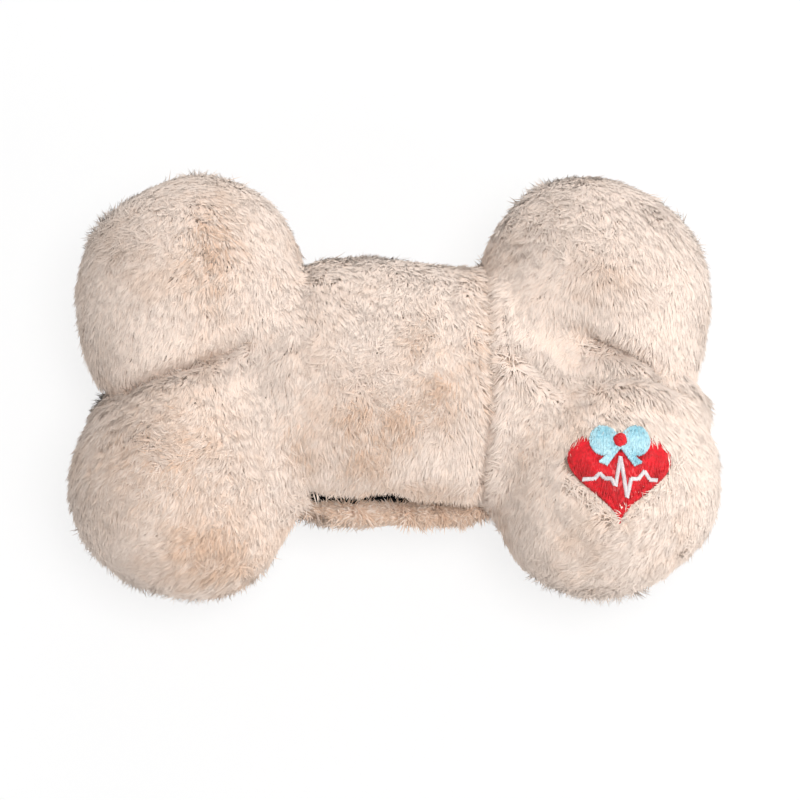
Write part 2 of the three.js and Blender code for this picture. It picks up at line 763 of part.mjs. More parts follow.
function contactDimple(side, y) {
  const start = bayHalf + contactWall / 2;
  const finish = cellLength / 2 + seatGap;
  const profile = [[0, finish], [dimpleTipRadius, finish], [dimpleBaseRadius, start], [0, start]]
    .map(([radius, along]) => new THREE.Vector2(radius, along * side));
  return turnedAlongX(side > 0 ? profile : profile.reverse(), 0, y, cellZ, 16);
}

const contactHalf = contactWidth / 2;
const insidePod = podForm(podWall + seatGap);
addPiece('bridge_contact', contactPlate(-1, frontCellY - contactHalf, rearCellY + contactHalf)
  .intersect(insidePod)
  .add(contactSpring(-1, frontCellY))
  .add(contactDimple(-1, rearCellY)), steel, pod);
addPiece('positive_contact', contactPlate(1, frontCellY - contactHalf, frontCellY + contactHalf)
  .intersect(insidePod)
  .add(contactDimple(1, frontCellY)), steel, pod);
addPiece('negative_contact', contactPlate(1, rearCellY - contactHalf, rearCellY + contactHalf)
  .intersect(insidePod)
  .add(contactSpring(1, rearCellY)), steel, pod);

// Circuit board with what stands on it
addPiece('circuit_board', block(
  -boardLength / 2, boardLength / 2, boardFrontY, boardBackY, boardZ, boardTopZ,
), board, pod);
const standZ = boardTopZ + seatGap;
addPiece('control_chip', block(
  chipX - chipLength / 2, chipX + chipLength / 2, boardY - chipDepth / 2, boardY + chipDepth / 2,
  standZ, standZ + chipHeight,
), blackPlastic, pod);
const switchTopZ = standZ + switchHeight;
const switchBody = block(
  buttonX - switchSide / 2, buttonX + switchSide / 2, buttonY - switchSide / 2, buttonY + switchSide / 2,
  standZ, switchTopZ,
);
const switchStem = uprightRod(buttonX, buttonY, switchStemRadius, standZ, switchTopZ + switchStemHeight, 16);
addPiece('push_switch', switchBody.add(switchStem), blackPlastic, pod);

// Push button: a domed cap in the upper half's hole, a flange under the wall and a stem to the switch
const buttonTopZ = podHeight + buttonProud;
const flangeTopZ = podTopInside - seatGap;
const flangeLowZ = flangeTopZ - buttonFlangeWall;
const stemTipZ = switchTopZ + switchStemHeight + buttonTravel + slideGap;
const buttonProfile = [
  [0, stemTipZ], [buttonStemRadius, stemTipZ], [buttonStemRadius, flangeLowZ],
  [buttonRadius + buttonFlange, flangeLowZ], [buttonRadius + buttonFlange, flangeTopZ],
  [buttonRadius, flangeTopZ], [buttonRadius, buttonTopZ - buttonDome],
  [buttonRadius - buttonDome, buttonTopZ - buttonDome * buttonShoulderShare],
  [buttonRadius / 2, buttonTopZ], [0, buttonTopZ],
].map(([radius, z]) => new THREE.Vector2(radius, z));
const buttonGeometry = new THREE.LatheGeometry(buttonProfile, 28);
buttonGeometry.rotateX(Math.PI / 2);
buttonGeometry.translate(buttonX, buttonY, 0);
addPiece('push_button', toSolid(buttonGeometry), redRubber, pod);

// Motor on its cradle, with the axle and the eccentric weight that gives the beat
const motorY = boardY;
const motorZ = standZ + cradleFloor + seatGap + motorRadius;
const motorEnd = motorX + motorLength;
const axleHole = axleRadius + seatGap;
const motorProfile = [
  [0, motorX], [motorRadius - motorEdge, motorX], [motorRadius, motorX + motorEdge],
  [motorRadius, motorEnd - motorEdge], [motorRadius - motorEdge, motorEnd],
  [motorBossRadius, motorEnd], [motorBossRadius, motorEnd + motorBossLength],
  [axleHole, motorEnd + motorBossLength], [axleHole, motorEnd - axleBuried - seatGap],
  [0, motorEnd - axleBuried - seatGap],
].map(([radius, along]) => new THREE.Vector2(radius, along));
addPiece('motor', turnedAlongX(motorProfile, 0, motorY, motorZ, 22), steel, pod);

const cradleMiddle = motorX + motorLength / 2;
const cradleHalfDepth = motorRadius + seatGap + cradleWall;
const cradleBlock = block(
  cradleMiddle - cradleLength / 2, cradleMiddle + cradleLength / 2,
  motorY - cradleHalfDepth, motorY + cradleHalfDepth, standZ, motorZ,
);
const cradleTrough = turnedAlongX([
  [0, 0], [motorRadius + seatGap, 0], [motorRadius + seatGap, podFar], [0, podFar],
].map(([radius, along]) => new THREE.Vector2(radius, along)), 0, motorY, motorZ, 22);
addPiece('motor_cradle', cradleBlock.subtract(cradleTrough), blackPlastic, pod);

const axleProfile = [[0, 0], [axleRadius, 0], [axleRadius, axleLength], [0, axleLength]]
  .map(([radius, along]) => new THREE.Vector2(radius, along + motorEnd - axleBuried));
addPiece('motor_axle', turnedAlongX(axleProfile, 0, motorY, motorZ, 12), steel, pod);

const weightStart = motorEnd - axleBuried + axleLength - weightLength;
const ring = (radius) => [
  [axleHole, 0], [radius, 0], [radius, weightLength], [axleHole, weightLength], [axleHole, 0],
].map(([reach, along]) => new THREE.Vector2(reach, along + weightStart));
const lowerSide = block(-podFar, podFar, -podFar, podFar, -podFar, motorZ);
const weightLobe = turnedAlongX(ring(weightRadius), 0, motorY, motorZ, 22).intersect(lowerSide);
const weightBush = turnedAlongX(ring(weightHub), 0, motorY, motorZ, 22);
addPiece('eccentric_weight', weightLobe.add(weightBush), brass, pod);

// Leads: two from the contacts over the bay's rib to the board, and two from the board to the motor
function lead(points) {
  const sides = 6;
  const steps = 12;
  const curve = new THREE.CatmullRomCurve3(points);
  const frames = curve.computeFrenetFrames(steps, false);
  const rings = frames.tangents.map((_, i) => {
    const centre = curve.getPointAt(i / steps);
    return Array.from({ length: sides }, (__, k) => {
      const turn = (k / sides) * 2 * Math.PI;
      return centre.clone()
        .addScaledVector(frames.normals[i], leadRadius * Math.cos(turn))
        .addScaledVector(frames.binormals[i], leadRadius * Math.sin(turn));
    });
  });
  return ringsToSolid(rings);
}
const contactX = bayHalf + contactWall / 2;
const contactTopZ = cellZ + contactHeight / 2 + seatGap;
const boardEndX = boardLength / 2;
const leadLand = 2;
const leadRise = 1.8;
const leadSpread = 3;
addPiece('negative_lead', lead([
  new THREE.Vector3(contactX, rearCellY + leadLand, contactTopZ),
  new THREE.Vector3(contactX, rearCellY + leadLand + leadSpread / 2, contactTopZ + leadRise / 2),
  new THREE.Vector3(contactX - leadLand, boardFrontY, contactTopZ),
  new THREE.Vector3(boardEndX - leadRise / 2, boardFrontY + leadLand, cellZ),
  new THREE.Vector3(boardEndX - leadLand, boardFrontY + leadLand, standZ),
]), blackSleeve, pod);
addPiece('positive_lead', lead([
  new THREE.Vector3(contactX, frontCellY, contactTopZ),
  new THREE.Vector3(contactX, frontCellY + leadLand, contactTopZ + leadRise),
  new THREE.Vector3(contactX - leadSpread, rearCellY, contactTopZ + leadRise),
  new THREE.Vector3(boardEndX - leadRise, boardFrontY - leadLand, contactTopZ + leadRise),
  new THREE.Vector3(boardEndX - leadSpread - leadLand / 2, boardFrontY + leadLand, cellZ),
  new THREE.Vector3(boardEndX - leadSpread - leadLand, boardFrontY + leadLand, standZ),
]), redSleeve, pod);
const motorBackX = motorX - seatGap;
const motorLeads = [['front_motor_lead', -1, redSleeve], ['rear_motor_lead', 1, blackSleeve]];
for (const [name, side, sleeve] of motorLeads) {
  const y = motorY + side * leadLand;
  addPiece(name, lead([
    new THREE.Vector3(motorBackX, y, motorZ),
    new THREE.Vector3(motorBackX - leadLand / 2, y, motorZ - leadRise / 2),
    new THREE.Vector3(motorBackX - leadLand, y + side * leadLand / 2, (motorZ + standZ) / 2),
    new THREE.Vector3(motorBackX - leadLand, y + side * leadLand, standZ),
  ]), sleeve, pod);
}

// Screws, put in from underneath
for (const [place, side] of [['left', -1], ['right', 1]]) {
  const headTopZ = headSeatZ - seatGap;
  const x = side * screwX;
  const screw = uprightRod(x, screwY, screwHeadRadius, screwSink, headTopZ, 18)
    .add(uprightRod(x, screwY, screwRadius, screwSink, headTopZ + screwLength, 12))
    .subtract(block(
      x - screwHeadRadius, x + screwHeadRadius, screwY - screwSlot / 2, screwY + screwSlot / 2,
      0, screwSink + screwSlotDepth,
    ))
    .subtract(block(
      x - screwSlot / 2, x + screwSlot / 2, screwY - screwHeadRadius, screwY + screwHeadRadius,
      0, screwSink + screwSlotDepth,
    ));
  addPiece(`${place}_screw`, screw, steel, pod);
}

export default group;
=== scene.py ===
import math

import bpy
import numpy as np
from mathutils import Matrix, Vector, kdtree


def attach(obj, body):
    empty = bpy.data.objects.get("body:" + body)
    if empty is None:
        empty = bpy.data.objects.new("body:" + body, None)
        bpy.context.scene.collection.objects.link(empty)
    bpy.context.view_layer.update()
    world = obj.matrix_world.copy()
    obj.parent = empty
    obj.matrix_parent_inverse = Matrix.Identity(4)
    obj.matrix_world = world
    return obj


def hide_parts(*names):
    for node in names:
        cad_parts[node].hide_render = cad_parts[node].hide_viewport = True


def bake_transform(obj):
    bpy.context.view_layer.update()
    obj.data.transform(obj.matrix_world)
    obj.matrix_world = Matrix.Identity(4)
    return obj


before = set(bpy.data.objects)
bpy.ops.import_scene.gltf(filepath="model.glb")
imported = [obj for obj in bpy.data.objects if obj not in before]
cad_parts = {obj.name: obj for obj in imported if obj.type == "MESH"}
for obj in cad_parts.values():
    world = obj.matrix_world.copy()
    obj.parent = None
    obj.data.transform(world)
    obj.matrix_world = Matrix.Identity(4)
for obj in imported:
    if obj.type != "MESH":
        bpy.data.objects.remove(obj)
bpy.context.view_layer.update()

bpy.ops.object.select_all(action="DESELECT")


# The camera and the light. The toy is seen from about 75 degrees above its near long side, from
# 1.35 m away, in soft even light that comes from behind it.
photo_elevation = math.radians(75)
camera_distance = 1.35
field_width = 0.367
sensor_mm = 36.0
look_at = Vector((0.0, 0.0, 0.048))
photo_shift_right, photo_shift_down = 0.00275, 0.0071
view_back = Vector((0.0, -math.cos(photo_elevation), math.sin(photo_elevation)))
view_up = Vector((0.0, math.sin(photo_elevation), math.cos(photo_elevation)))
aim = look_at + Vector((photo_shift_right, 0.0, 0.0)) - view_up * photo_shift_down
bpy.ops.object.camera_add(location=aim + view_back * camera_distance,
                          rotation=(math.pi / 2 - photo_elevation, 0.0, 0.0))
camera = bpy.context.object
camera.name = "photo_camera"
camera.data.sensor_width = sensor_mm
camera.data.lens = sensor_mm * camera_distance / field_width
camera.data.clip_end = 30
bpy.context.scene.camera = camera
bpy.context.scene.view_settings.view_transform = "Standard"

for name, place, size, energy in (
    ("soft_box_above", (0.45, -0.20, 2.1), 1.0, 29.0),
    ("soft_box_left", (-1.6, -1.2, 0.6), 1.2, 5.5),
    ("soft_box_right", (1.6, -1.1, 0.6), 1.2, 16.0),
    ("soft_box_behind", (0.3, 1.9, 0.7), 1.2, 15.0),
):
    bpy.ops.object.light_add(type="AREA", location=place)
    lamp = bpy.context.object
    lamp.name = name
    lamp.data.size = size
    lamp.data.energy = energy
    lamp.rotation_euler = (Vector((0, 0, 0.05)) - Vector(place)).to_track_quat("-Z", "Y").to_euler()

world = bpy.data.worlds.new("studio_air")
bpy.context.scene.world = world
world.use_nodes = True
sky = world.node_tree
sky.nodes.clear()
path = sky.nodes.new("ShaderNodeLightPath")
seen = sky.nodes.new("ShaderNodeMath")
seen.operation = "MAXIMUM"
seen_too = sky.nodes.new("ShaderNodeMath")
seen_too.operation = "MAXIMUM"
glow = sky.nodes.new("ShaderNodeBackground")
glow.inputs["Color"].default_value = (1, 1, 1, 1)
glow.inputs["Strength"].default_value = 0.36
plain_white = sky.nodes.new("ShaderNodeBackground")
plain_white.inputs["Color"].default_value = (1, 1, 1, 1)
plain_white.inputs["Strength"].default_value = 1.0
both = sky.nodes.new("ShaderNodeMixShader")
air_out = sky.nodes.new("ShaderNodeOutputWorld")
sky.links.new(path.outputs["Is Camera Ray"], seen.inputs[0])
sky.links.new(path.outputs["Is Glossy Ray"], seen.inputs[1])
sky.links.new(seen.outputs[0], seen_too.inputs[0])
sky.links.new(path.outputs["Is Transmission Ray"], seen_too.inputs[1])
sky.links.new(seen_too.outputs[0], both.inputs["Fac"])
sky.links.new(glow.outputs[0], both.inputs[1])
sky.links.new(plain_white.outputs[0], both.inputs[2])
sky.links.new(both.outputs[0], air_out.inputs["Surface"])

# The table top under the toy, plain and near white, wide enough for every view.
bpy.ops.mesh.primitive_plane_add(size=24, location=(0, 0, -0.0002))
floor = bpy.context.object
floor.name = "table_top"
floor_paint = bpy.data.materials.new("pale_table")
floor_paint.use_nodes = True
table_tree = floor_paint.node_tree
table_shader = table_tree.nodes["Principled BSDF"]
table_shader.inputs["Base Color"].default_value = (0.92, 0.92, 0.92, 1)
table_shader.inputs["Roughness"].default_value = 0.9
table_shader.inputs["Specular IOR Level"].default_value = 0.1
table_white = table_tree.nodes.new("ShaderNodeEmission")
table_white.inputs["Strength"].default_value = 1.0
table_path = table_tree.nodes.new("ShaderNodeLightPath")
table_seen = table_tree.nodes.new("ShaderNodeMath")
table_seen.operation = "MAXIMUM"
table_share = table_tree.nodes.new("ShaderNodeMath")
table_share.operation = "MULTIPLY"
table_place = table_tree.nodes.new("ShaderNodeTexCoord")
from_toy = table_tree.nodes.new("ShaderNodeVectorMath")
from_toy.operation = "LENGTH"
table_fade = table_tree.nodes.new("ShaderNodeMapRange")
table_fade.interpolation_type = "SMOOTHSTEP"
table_fade.inputs["From Min"].default_value = 0.25
table_fade.inputs["From Max"].default_value = 1.1
table_fade.inputs["To Min"].default_value = 0.8
table_fade.inputs["To Max"].default_value = 1.0
table_mix = table_tree.nodes.new("ShaderNodeMixShader")
table_tree.links.new(table_path.outputs["Is Camera Ray"], table_seen.inputs[0])
table_tree.links.new(table_path.outputs["Is Glossy Ray"], table_seen.inputs[1])
table_tree.links.new(table_place.outputs["Object"], from_toy.inputs[0])
table_tree.links.new(from_toy.outputs["Value"], table_fade.inputs["Value"])
table_tree.links.new(table_seen.outputs[0], table_share.inputs[0])
table_tree.links.new(table_fade.outputs[0], table_share.inputs[1])
table_tree.links.new(table_share.outputs[0], table_mix.inputs["Fac"])
table_tree.links.new(table_shader.outputs[0], table_mix.inputs[1])
table_tree.links.new(table_white.outputs[0], table_mix.inputs[2])
table_tree.links.new(table_mix.outputs[0], table_tree.nodes["Material Output"].inputs["Surface"])
floor.data.materials.append(floor_paint)


# The stuffed body. The real toy is one closed bag of plush, four ball-like knobs on a thick shaft,
# sewn inside out, turned and filled with loose fibre. This is its cloth, a pile's depth inside.
cloth_depth = 0.0047
knob_x, knob_y, knob_z = 0.096, 0.0455, 0.048
knob_radius, knob_half_height = 0.054, 0.0485
notch_x, notch_spread = 0.137, 0.35
notch_turn = math.atan2(-knob_y, notch_x - knob_x)
notch_reach = math.hypot(knob_y, notch_x - knob_x)
shaft_half_length, shaft_half_depth, shaft_half_height = 0.088, 0.061, 0.0465
shaft_y, shaft_z, shaft_blunt = -0.002, 0.046, 3.2


def knob_reach(turn):
    away = math.atan2(math.sin(turn - notch_turn), math.cos(turn - notch_turn))
    swell = math.exp(-away * away / (2 * notch_spread * notch_spread))
    return knob_radius + (notch_reach - knob_radius) * swell


def add_ball(name, segments=64, rings=32):
    bpy.ops.object.select_all(action="DESELECT")
    bpy.ops.mesh.primitive_uv_sphere_add(segments=segments, ring_count=rings, radius=1)
    ball = bpy.context.object
    ball.name = name
    return ball


def knob_ball(name, side_x, side_y, grown):
    ball = add_ball(name)
    for corner in ball.data.vertices:
        x, y, z = corner.co
        turn = math.atan2(y, x)
        reach = (knob_reach(turn) + grown) * math.hypot(x, y)
        corner.co = (side_x * (knob_x + reach * math.cos(turn)),
                     side_y * (knob_y + reach * math.sin(turn)),
                     knob_z + (knob_half_height + grown) * z)
    return ball


def shaft_ball(name, grown):
    ball = add_ball(name)
    for corner in ball.data.vertices:
        x, y, z = corner.co
        turn = math.atan2(y, x)
        width = math.sqrt(max(0.0, 1 - abs(z) ** shaft_blunt))
        corner.co = (z * (shaft_half_length + grown),
                     shaft_y + width * (shaft_half_depth + grown) * math.cos(turn),
                     shaft_z + width * (shaft_half_height + grown) * math.sin(turn))
    return ball


def pick(*objects):
    bpy.ops.object.select_all(action="DESELECT")
    for each in objects:
        each.select_set(True)
    bpy.context.view_layer.objects.active = objects[0]


def tidy_normals(piece):
    pick(piece)
    bpy.ops.object.mode_set(mode="EDIT")
    bpy.ops.mesh.select_all(action="SELECT")
    bpy.ops.mesh.remove_doubles(threshold=1e-6)
    bpy.ops.mesh.normals_make_consistent(inside=False)
    bpy.ops.object.mode_set(mode="OBJECT")


def apply_all(piece):
    pick(piece)
    for modifier in list(piece.modifiers):
        bpy.ops.object.modifier_apply(modifier=modifier.name)


def points_of(piece):
    flat = np.empty(len(piece.data.vertices) * 3, np.float32)
    piece.data.vertices.foreach_get("co", flat)
    return flat.reshape(-1, 3).astype(float)


def normals_of(piece):
    flat = np.empty(len(piece.data.vertices) * 3, np.float32)
    piece.data.vertex_normals.foreach_get("vector", flat)
    return flat.reshape(-1, 3).astype(float)


def set_points(piece, points):
    piece.data.vertices.foreach_set("co", points.astype(np.float32).ravel())
    piece.data.update()


balls = [shaft_ball("body", -cloth_depth)]
for side_x in (-1, 1):
    for side_y in (-1, 1):
        balls.append(knob_ball("knob", side_x, side_y, -cloth_depth))
for ball in balls:
    tidy_normals(ball)
pick(*balls)
bpy.ops.object.join()
body = bpy.context.object
bpy.ops.object.modifier_add(type="REMESH")
body.modifiers[-1].mode = "VOXEL"
body.modifiers[-1].voxel_size = 0.0046
bpy.ops.object.modifier_add(type="SMOOTH")
body.modifiers[-1].iterations = 5
apply_all(body)

# The shaft's cloth runs into the knobs in one sweep, above and below, without a deep valley.
body_points = points_of(body)
from_middle = np.abs(body_points[:, 0])
along_x = np.clip((from_middle - 0.036) / 0.014, 0, 1) * np.clip((0.100 - from_middle) / 0.022, 0, 1)
off_side = np.clip((0.046 - np.abs(body_points[:, 1] - shaft_y)) / 0.014, 0, 1)
sweep = along_x * np.maximum(off_side, np.clip((np.abs(body_points[:, 2] - shaft_z) - 0.016) / 0.01, 0, 1))
swept = body.vertex_groups.new(name="sweep")
for index, share in enumerate(sweep):
    swept.add([index], float(share), "REPLACE")
pick(body)
bpy.ops.object.modifier_add(type="SMOOTH")
body.modifiers[-1].vertex_group = "sweep"
body.modifiers[-1].iterations = 80
apply_all(body)
body.vertex_groups.clear()

# The stuffing pushes the cloth out between the seams, which hold it: the two seams across the
# shaft and the long seam where the front and back panels meet.
seam_x = 0.04135
seam_hold = 0.0026
panel_seam_z = 0.046
swell_limit = 0.0014


def inflate(bag, held, limit):
    at_rest = points_of(bag)
    sewn = bag.vertex_groups.new(name="sewn")
    sewn.add([int(i) for i in np.flatnonzero(held)], 1.0, "REPLACE")
    pick(bag)
    bpy.ops.object.modifier_add(type="CLOTH")
    cloth = bag.modifiers[-1]
    cloth.settings.use_pressure = True
    cloth.settings.uniform_pressure_force = 1000
    cloth.settings.effector_weights.gravity = 0
    cloth.settings.vertex_group_mass = "sewn"
    cloth.point_cache.frame_start = 1
    cloth.point_cache.frame_end = 8
    for step in range(1, 9):
        bpy.context.scene.frame_set(step)
    bpy.ops.object.modifier_apply(modifier=cloth.name)
    bpy.context.scene.frame_set(1)
    moved = points_of(bag) - at_rest
    length = np.linalg.norm(moved, axis=1)
    share = np.minimum(1.0, limit / np.maximum(length, 1e-9))
    set_points(bag, at_rest + moved * share[:, None])
    bag.vertex_groups.clear()


body_points = points_of(body)
near_cross_seam = np.abs(np.abs(body_points[:, 0]) - seam_x) < seam_hold
near_panel_seam = (np.abs(body_points[:, 2] - panel_seam_z) < seam_hold)
near_panel_seam &= (np.abs(body_points[:, 0]) > seam_x) | (body_points[:, 1] > 0)
inflate(body, near_cross_seam | near_panel_seam, swell_limit)
bpy.ops.object.select_all(action="DESELECT")
pick(body)
bpy.ops.object.modifier_add(type="SUBSURF")
body.modifiers[-1].levels = 1
body.modifiers[-1].render_levels = 1
apply_all(body)

# Folds. Where two knobs press on each other the valley between them runs aslant, and the front has
# the soft folds of a stuffed toy that was packed flat. Each is a line of places and a depth.
valley_spread = 0.022
body_points = points_of(body)
height_share = np.clip((body_points[:, 2] - 0.03) / 0.04, 0, 1)
near_valley = np.exp(-(body_points[:, 1] / valley_spread) ** 2)
left_slant = np.interp(body_points[:, 0], [-0.14, -0.127, -0.074, -0.05], [-0.008, -0.010, 0.008, 0.0])
right_slant = np.interp(body_points[:, 0], [0.06, 0.089, 0.118, 0.14], [0.0, 0.008, 0.000, 0.002])
slant = np.where(body_points[:, 0] < 0, left_slant, right_slant)
body_points[:, 1] += slant * near_valley * height_share

# The middle's back swells out a little below the mouth.
low_front = np.clip((-0.030 - body_points[:, 1]) / 0.02, 0, 1) * np.clip((0.052 - body_points[:, 2]) / 0.012, 0, 1)
between_knobs = np.clip((0.048 - np.abs(body_points[:, 0])) / 0.014, 0, 1)
body_points[:, 1] -= 0.0036 * low_front * between_knobs
far_swell = np.interp(body_points[:, 0], [-0.05, -0.034, 0, 0.026, 0.05], [0.0, 0.0032, 0.0022, -0.0012, 0.0])
far_side = np.clip((body_points[:, 1] - 0.030) / 0.02, 0, 1)
body_points[:, 1] += far_swell * far_side * between_knobs

# The knobs aren't four equal balls: the upper two sit nearer the middle, and each has its own tilt.
lean_places = [-0.098, -0.080, -0.067, -0.053, -0.035, -0.022, -0.008, 0,
               0.010, 0.022, 0.045, 0.070, 0.084, 0.097]
left_lean = [0.0048, 0.0022, 0.0010, 0.0012, 0.0040, 0.0068, 0.0034, 0.0034,
             0.0030, 0.0032, 0.0028, 0.0034, 0.0052, 0.0068]
right_lean = [0.0012, 0.0030, 0.0008, 0, 0.0016, 0.0036, -0.0026, -0.0030,
              0.0012, 0.0040, 0.0034, 0.0050, 0.0058, 0.0090]
shift = np.where(body_points[:, 0] < 0, np.interp(body_points[:, 1], lean_places, left_lean),
                 -np.interp(body_points[:, 1], lean_places, right_lean))
body_points[:, 0] += shift * np.clip((np.abs(body_points[:, 0]) - 0.036) / 0.016, 0, 1)
set_points(body, body_points)


def off_line(flat, line):
    """How far places in plan are from a line of points, how far along it, and the way to it."""
    nearest = np.full(len(flat), 1e9)
    along_end = np.ones(len(flat))
    towards = np.zeros((len(flat), 2))
    total = len(line) - 1
    for i in range(total):
        a, b = np.array(line[i]), np.array(line[i + 1])
        run = b - a
        share = np.clip((flat - a) @ run / (run @ run), 0, 1)
        gap = a + share[:, None] * run - flat
        distance = np.linalg.norm(gap, axis=1)
        closer = distance < nearest
        nearest = np.where(closer, distance, nearest)
        along_end = np.where(closer, (i + share) / total, along_end)
        towards = np.where(closer[:, None], gap / np.maximum(distance, 1e-6)[:, None], towards)
    return nearest, along_end, towards


def fold(piece, line, width, depth, above=0.05):
    points = points_of(piece)
    normals = normals_of(piece)
    nearest, along_end, towards = off_line(points[:, :2], line)
    fade = np.clip(np.minimum(along_end, 1 - along_end) * 5, 0.15, 1)
    shape = np.exp(-(nearest / width) ** 2) - 0.35 * np.exp(-((nearest - 2 * width) / width) ** 2)
    height = np.clip((points[:, 2] - above) / 0.015, 0, 1)
    set_points(piece, points - normals * (depth * shape * fade * height)[:, None])


# Each crease: a line of places, a width, a depth, and the strength of the painted shade on the pile along its line.
creases = [
    ([(-0.134, -0.012), (-0.104, -0.002), (-0.074, 0.009), (-0.060, 0.014)], 0.0040, 0.0028, 1.4),
    ([(0.082, 0.018), (0.0965, 0.012), (0.1044, 0.0085), (0.1138, 0.0034), (0.122, -0.001)],
     0.0034, 0.0038, 1.6),
    ([(0.080, -0.0115), (0.094, -0.007), (0.106, -0.0055), (0.120, -0.006), (0.134, -0.013)],
     0.0038, 0.0032, 0.8),
    ([(0.045, 0.009), (0.062, 0.001), (0.072, -0.009), (0.080, -0.016)], 0.0042, 0.0030, 1.0),
    ([(0.0424, 0.056), (0.0430, 0.020), (0.0436, -0.020)], 0.0036, 0.0026, 0.5),
    ([(0.0432, 0.004), (0.0436, -0.014), (0.0406, -0.045), (0.0380, -0.075)], 0.0036, 0.0036, 1.5)]
for line, width, depth, crease_shade_strength in creases:
    fold(body, line, width, depth)
fold(body, [(0.0235, 0.046), (0.0245, 0.030), (0.0240, 0.018)], 0.0032, 0.0012)

# The cloth rises a little under the embroidery, which holds the pile down round it.
heart_x, heart_y = 0.0995, -0.0545
heart_width, heart_height = 0.046, 0.040
embroidery_lift = 0.0010
body_points = points_of(body)
off_heart = np.hypot((body_points[:, 0] - heart_x) / (heart_width / 2),
                     (body_points[:, 1] - heart_y - 0.003) / (heart_height / 2 + 0.004))
lifted = np.clip((1.35 - off_heart) / 0.35, 0, 1) * (body_points[:, 2] > knob_z)
body_points[:, 2] += embroidery_lift * lifted * lifted * (3 - 2 * lifted)
body_points[:, 2] = np.maximum(body_points[:, 2], 0.003)
set_points(body, body_points)
pick(body)
bpy.ops.object.shade_smooth()


# The plush's cloth: a knitted back in the colour that shows between the roots of the pile. The
# knit is a node group, which the lining and the tapes use too, each at its own scale.
def new_group(name, inputs, outputs):
    group = bpy.data.node_groups.new(name, "ShaderNodeTree")
    for label, kind, value in inputs:
        socket = group.interface.new_socket(name=label, in_out="INPUT", socket_type=kind)
        socket.default_value = value
    for label, kind in outputs:
        group.interface.new_socket(name=label, in_out="OUTPUT", socket_type=kind)
    entry = group.nodes.new("NodeGroupInput")
    leave = group.nodes.new("NodeGroupOutput")
    return group, entry, leave


def add_node(tree, kind, links=(), **values):
    node = tree.nodes.new(kind)
    for key, value in values.items():
        setattr(node, key, value)
    for socket, source in links:
        if hasattr(source, "node"):
            tree.links.new(source, node.inputs[socket])
        else:
            node.inputs[socket].default_value = source
    return node


knit, knit_in, knit_out = new_group(
    "knit", [("Rows per metre", "NodeSocketFloat", 900.0), ("Colour", "NodeSocketColor", (1, 1, 1, 1))],
    [("Colour", "NodeSocketColor"), ("Height", "NodeSocketFloat")])
place = add_node(knit, "ShaderNodeTexCoord")
wave_a = add_node(knit, "ShaderNodeTexWave", [
    ("Vector", place.outputs["Object"]), ("Scale", knit_in.outputs["Rows per metre"]),
    ("Distortion", 1.2), ("Detail", 1.0)], wave_type="BANDS", bands_direction="X")
wave_b = add_node(knit, "ShaderNodeTexWave", [
    ("Vector", place.outputs["Object"]), ("Scale", knit_in.outputs["Rows per metre"]),
    ("Distortion", 1.2), ("Detail", 1.0)], wave_type="BANDS", bands_direction="Y")
crossed = add_node(knit, "ShaderNodeMath", [(0, wave_a.outputs["Fac"]), (1, wave_b.outputs["Fac"])],
                   operation="MULTIPLY")
blotch = add_node(knit, "ShaderNodeTexNoise", [("Vector", place.outputs["Object"]), ("Scale", 60.0)])
shade = add_node(knit, "ShaderNodeMapRange", [
    ("Value", crossed.outputs[0]), ("To Min", 0.72), ("To Max", 1.08)])
shade_two = add_node(knit, "ShaderNodeMapRange", [
    ("Value", blotch.outputs["Fac"]), ("From Min", 0.3), ("From Max", 0.7), ("To Min", 0.92), ("To Max", 1.06)])
shades = add_node(knit, "ShaderNodeMath", [(0, shade.outputs[0]), (1, shade_two.outputs[0])],
                  operation="MULTIPLY")
toned = add_node(knit, "ShaderNodeVectorMath", [
    (0, knit_in.outputs["Colour"]), ("Scale", shades.outputs[0])], operation="SCALE")
knit.links.new(toned.outputs[0], knit_out.inputs["Colour"])
knit.links.new(crossed.outputs[0], knit_out.inputs["Height"])


def srgb(red, green, blue):
    def linear(value):
        return value / 12.92 if value <= 0.04045 else ((value + 0.055) / 1.055) ** 2.4
    return (linear(red), linear(green), linear(blue), 1.0)


def new_material(name, roughness=0.5, metallic=0.0, specular=0.5):
    material = bpy.data.materials.new(name)
    material.use_nodes = True
    shader = material.node_tree.nodes["Principled BSDF"]
    shader.inputs["Roughness"].default_value = roughness
    shader.inputs["Metallic"].default_value = metallic
    shader.inputs["Specular IOR Level"].default_value = specular
    return material, material.node_tree, shader


def place_group(tree, group, **values):
    node = tree.nodes.new("ShaderNodeGroup")
    node.node_tree = group
    for key, value in values.items():
        node.inputs[key.replace("_", " ")].default_value = value
    return node


def raise_from(tree, shader, height, strength, distance):
    bump = add_node(tree, "ShaderNodeBump", [
        ("Height", height), ("Strength", strength), ("Distance", distance)])
    tree.links.new(bump.outputs["Normal"], shader.inputs["Normal"])


def knitted(name, colour, rows, strength, distance, roughness=0.95):
    material, tree, shader = new_material(name, roughness=roughness, specular=0.2)
    weave = place_group(tree, knit, Rows_per_metre=rows, Colour=colour)
    tree.links.new(weave.outputs["Colour"], shader.inputs["Base Color"])
    raise_from(tree, shader, weave.outputs["Height"], strength, distance)
    return material


backing_cloth = knitted("plush_backing", srgb(0.95, 0.86, 0.79), 300.0, 0.5, 0.0003)
lining_cloth = knitted("lining_cloth", srgb(0.90, 0.85, 0.79), 700.0, 0.4, 0.0002)
body.data.materials.append(backing_cloth)


# The padded pieces. Each is cut from the stuffed body along its seams: two end sections, the
# middle's back and front with the pocket between them, and the four knobs.
middle_half = 0.0412
pocket_low, pocket_high = 0.0405, 0.0624
pocket_back_y = 0.0313
lip_back_y, lip_top = -0.0548, 0.0418
hinge_y, hem_z = -0.0253, 0.0622


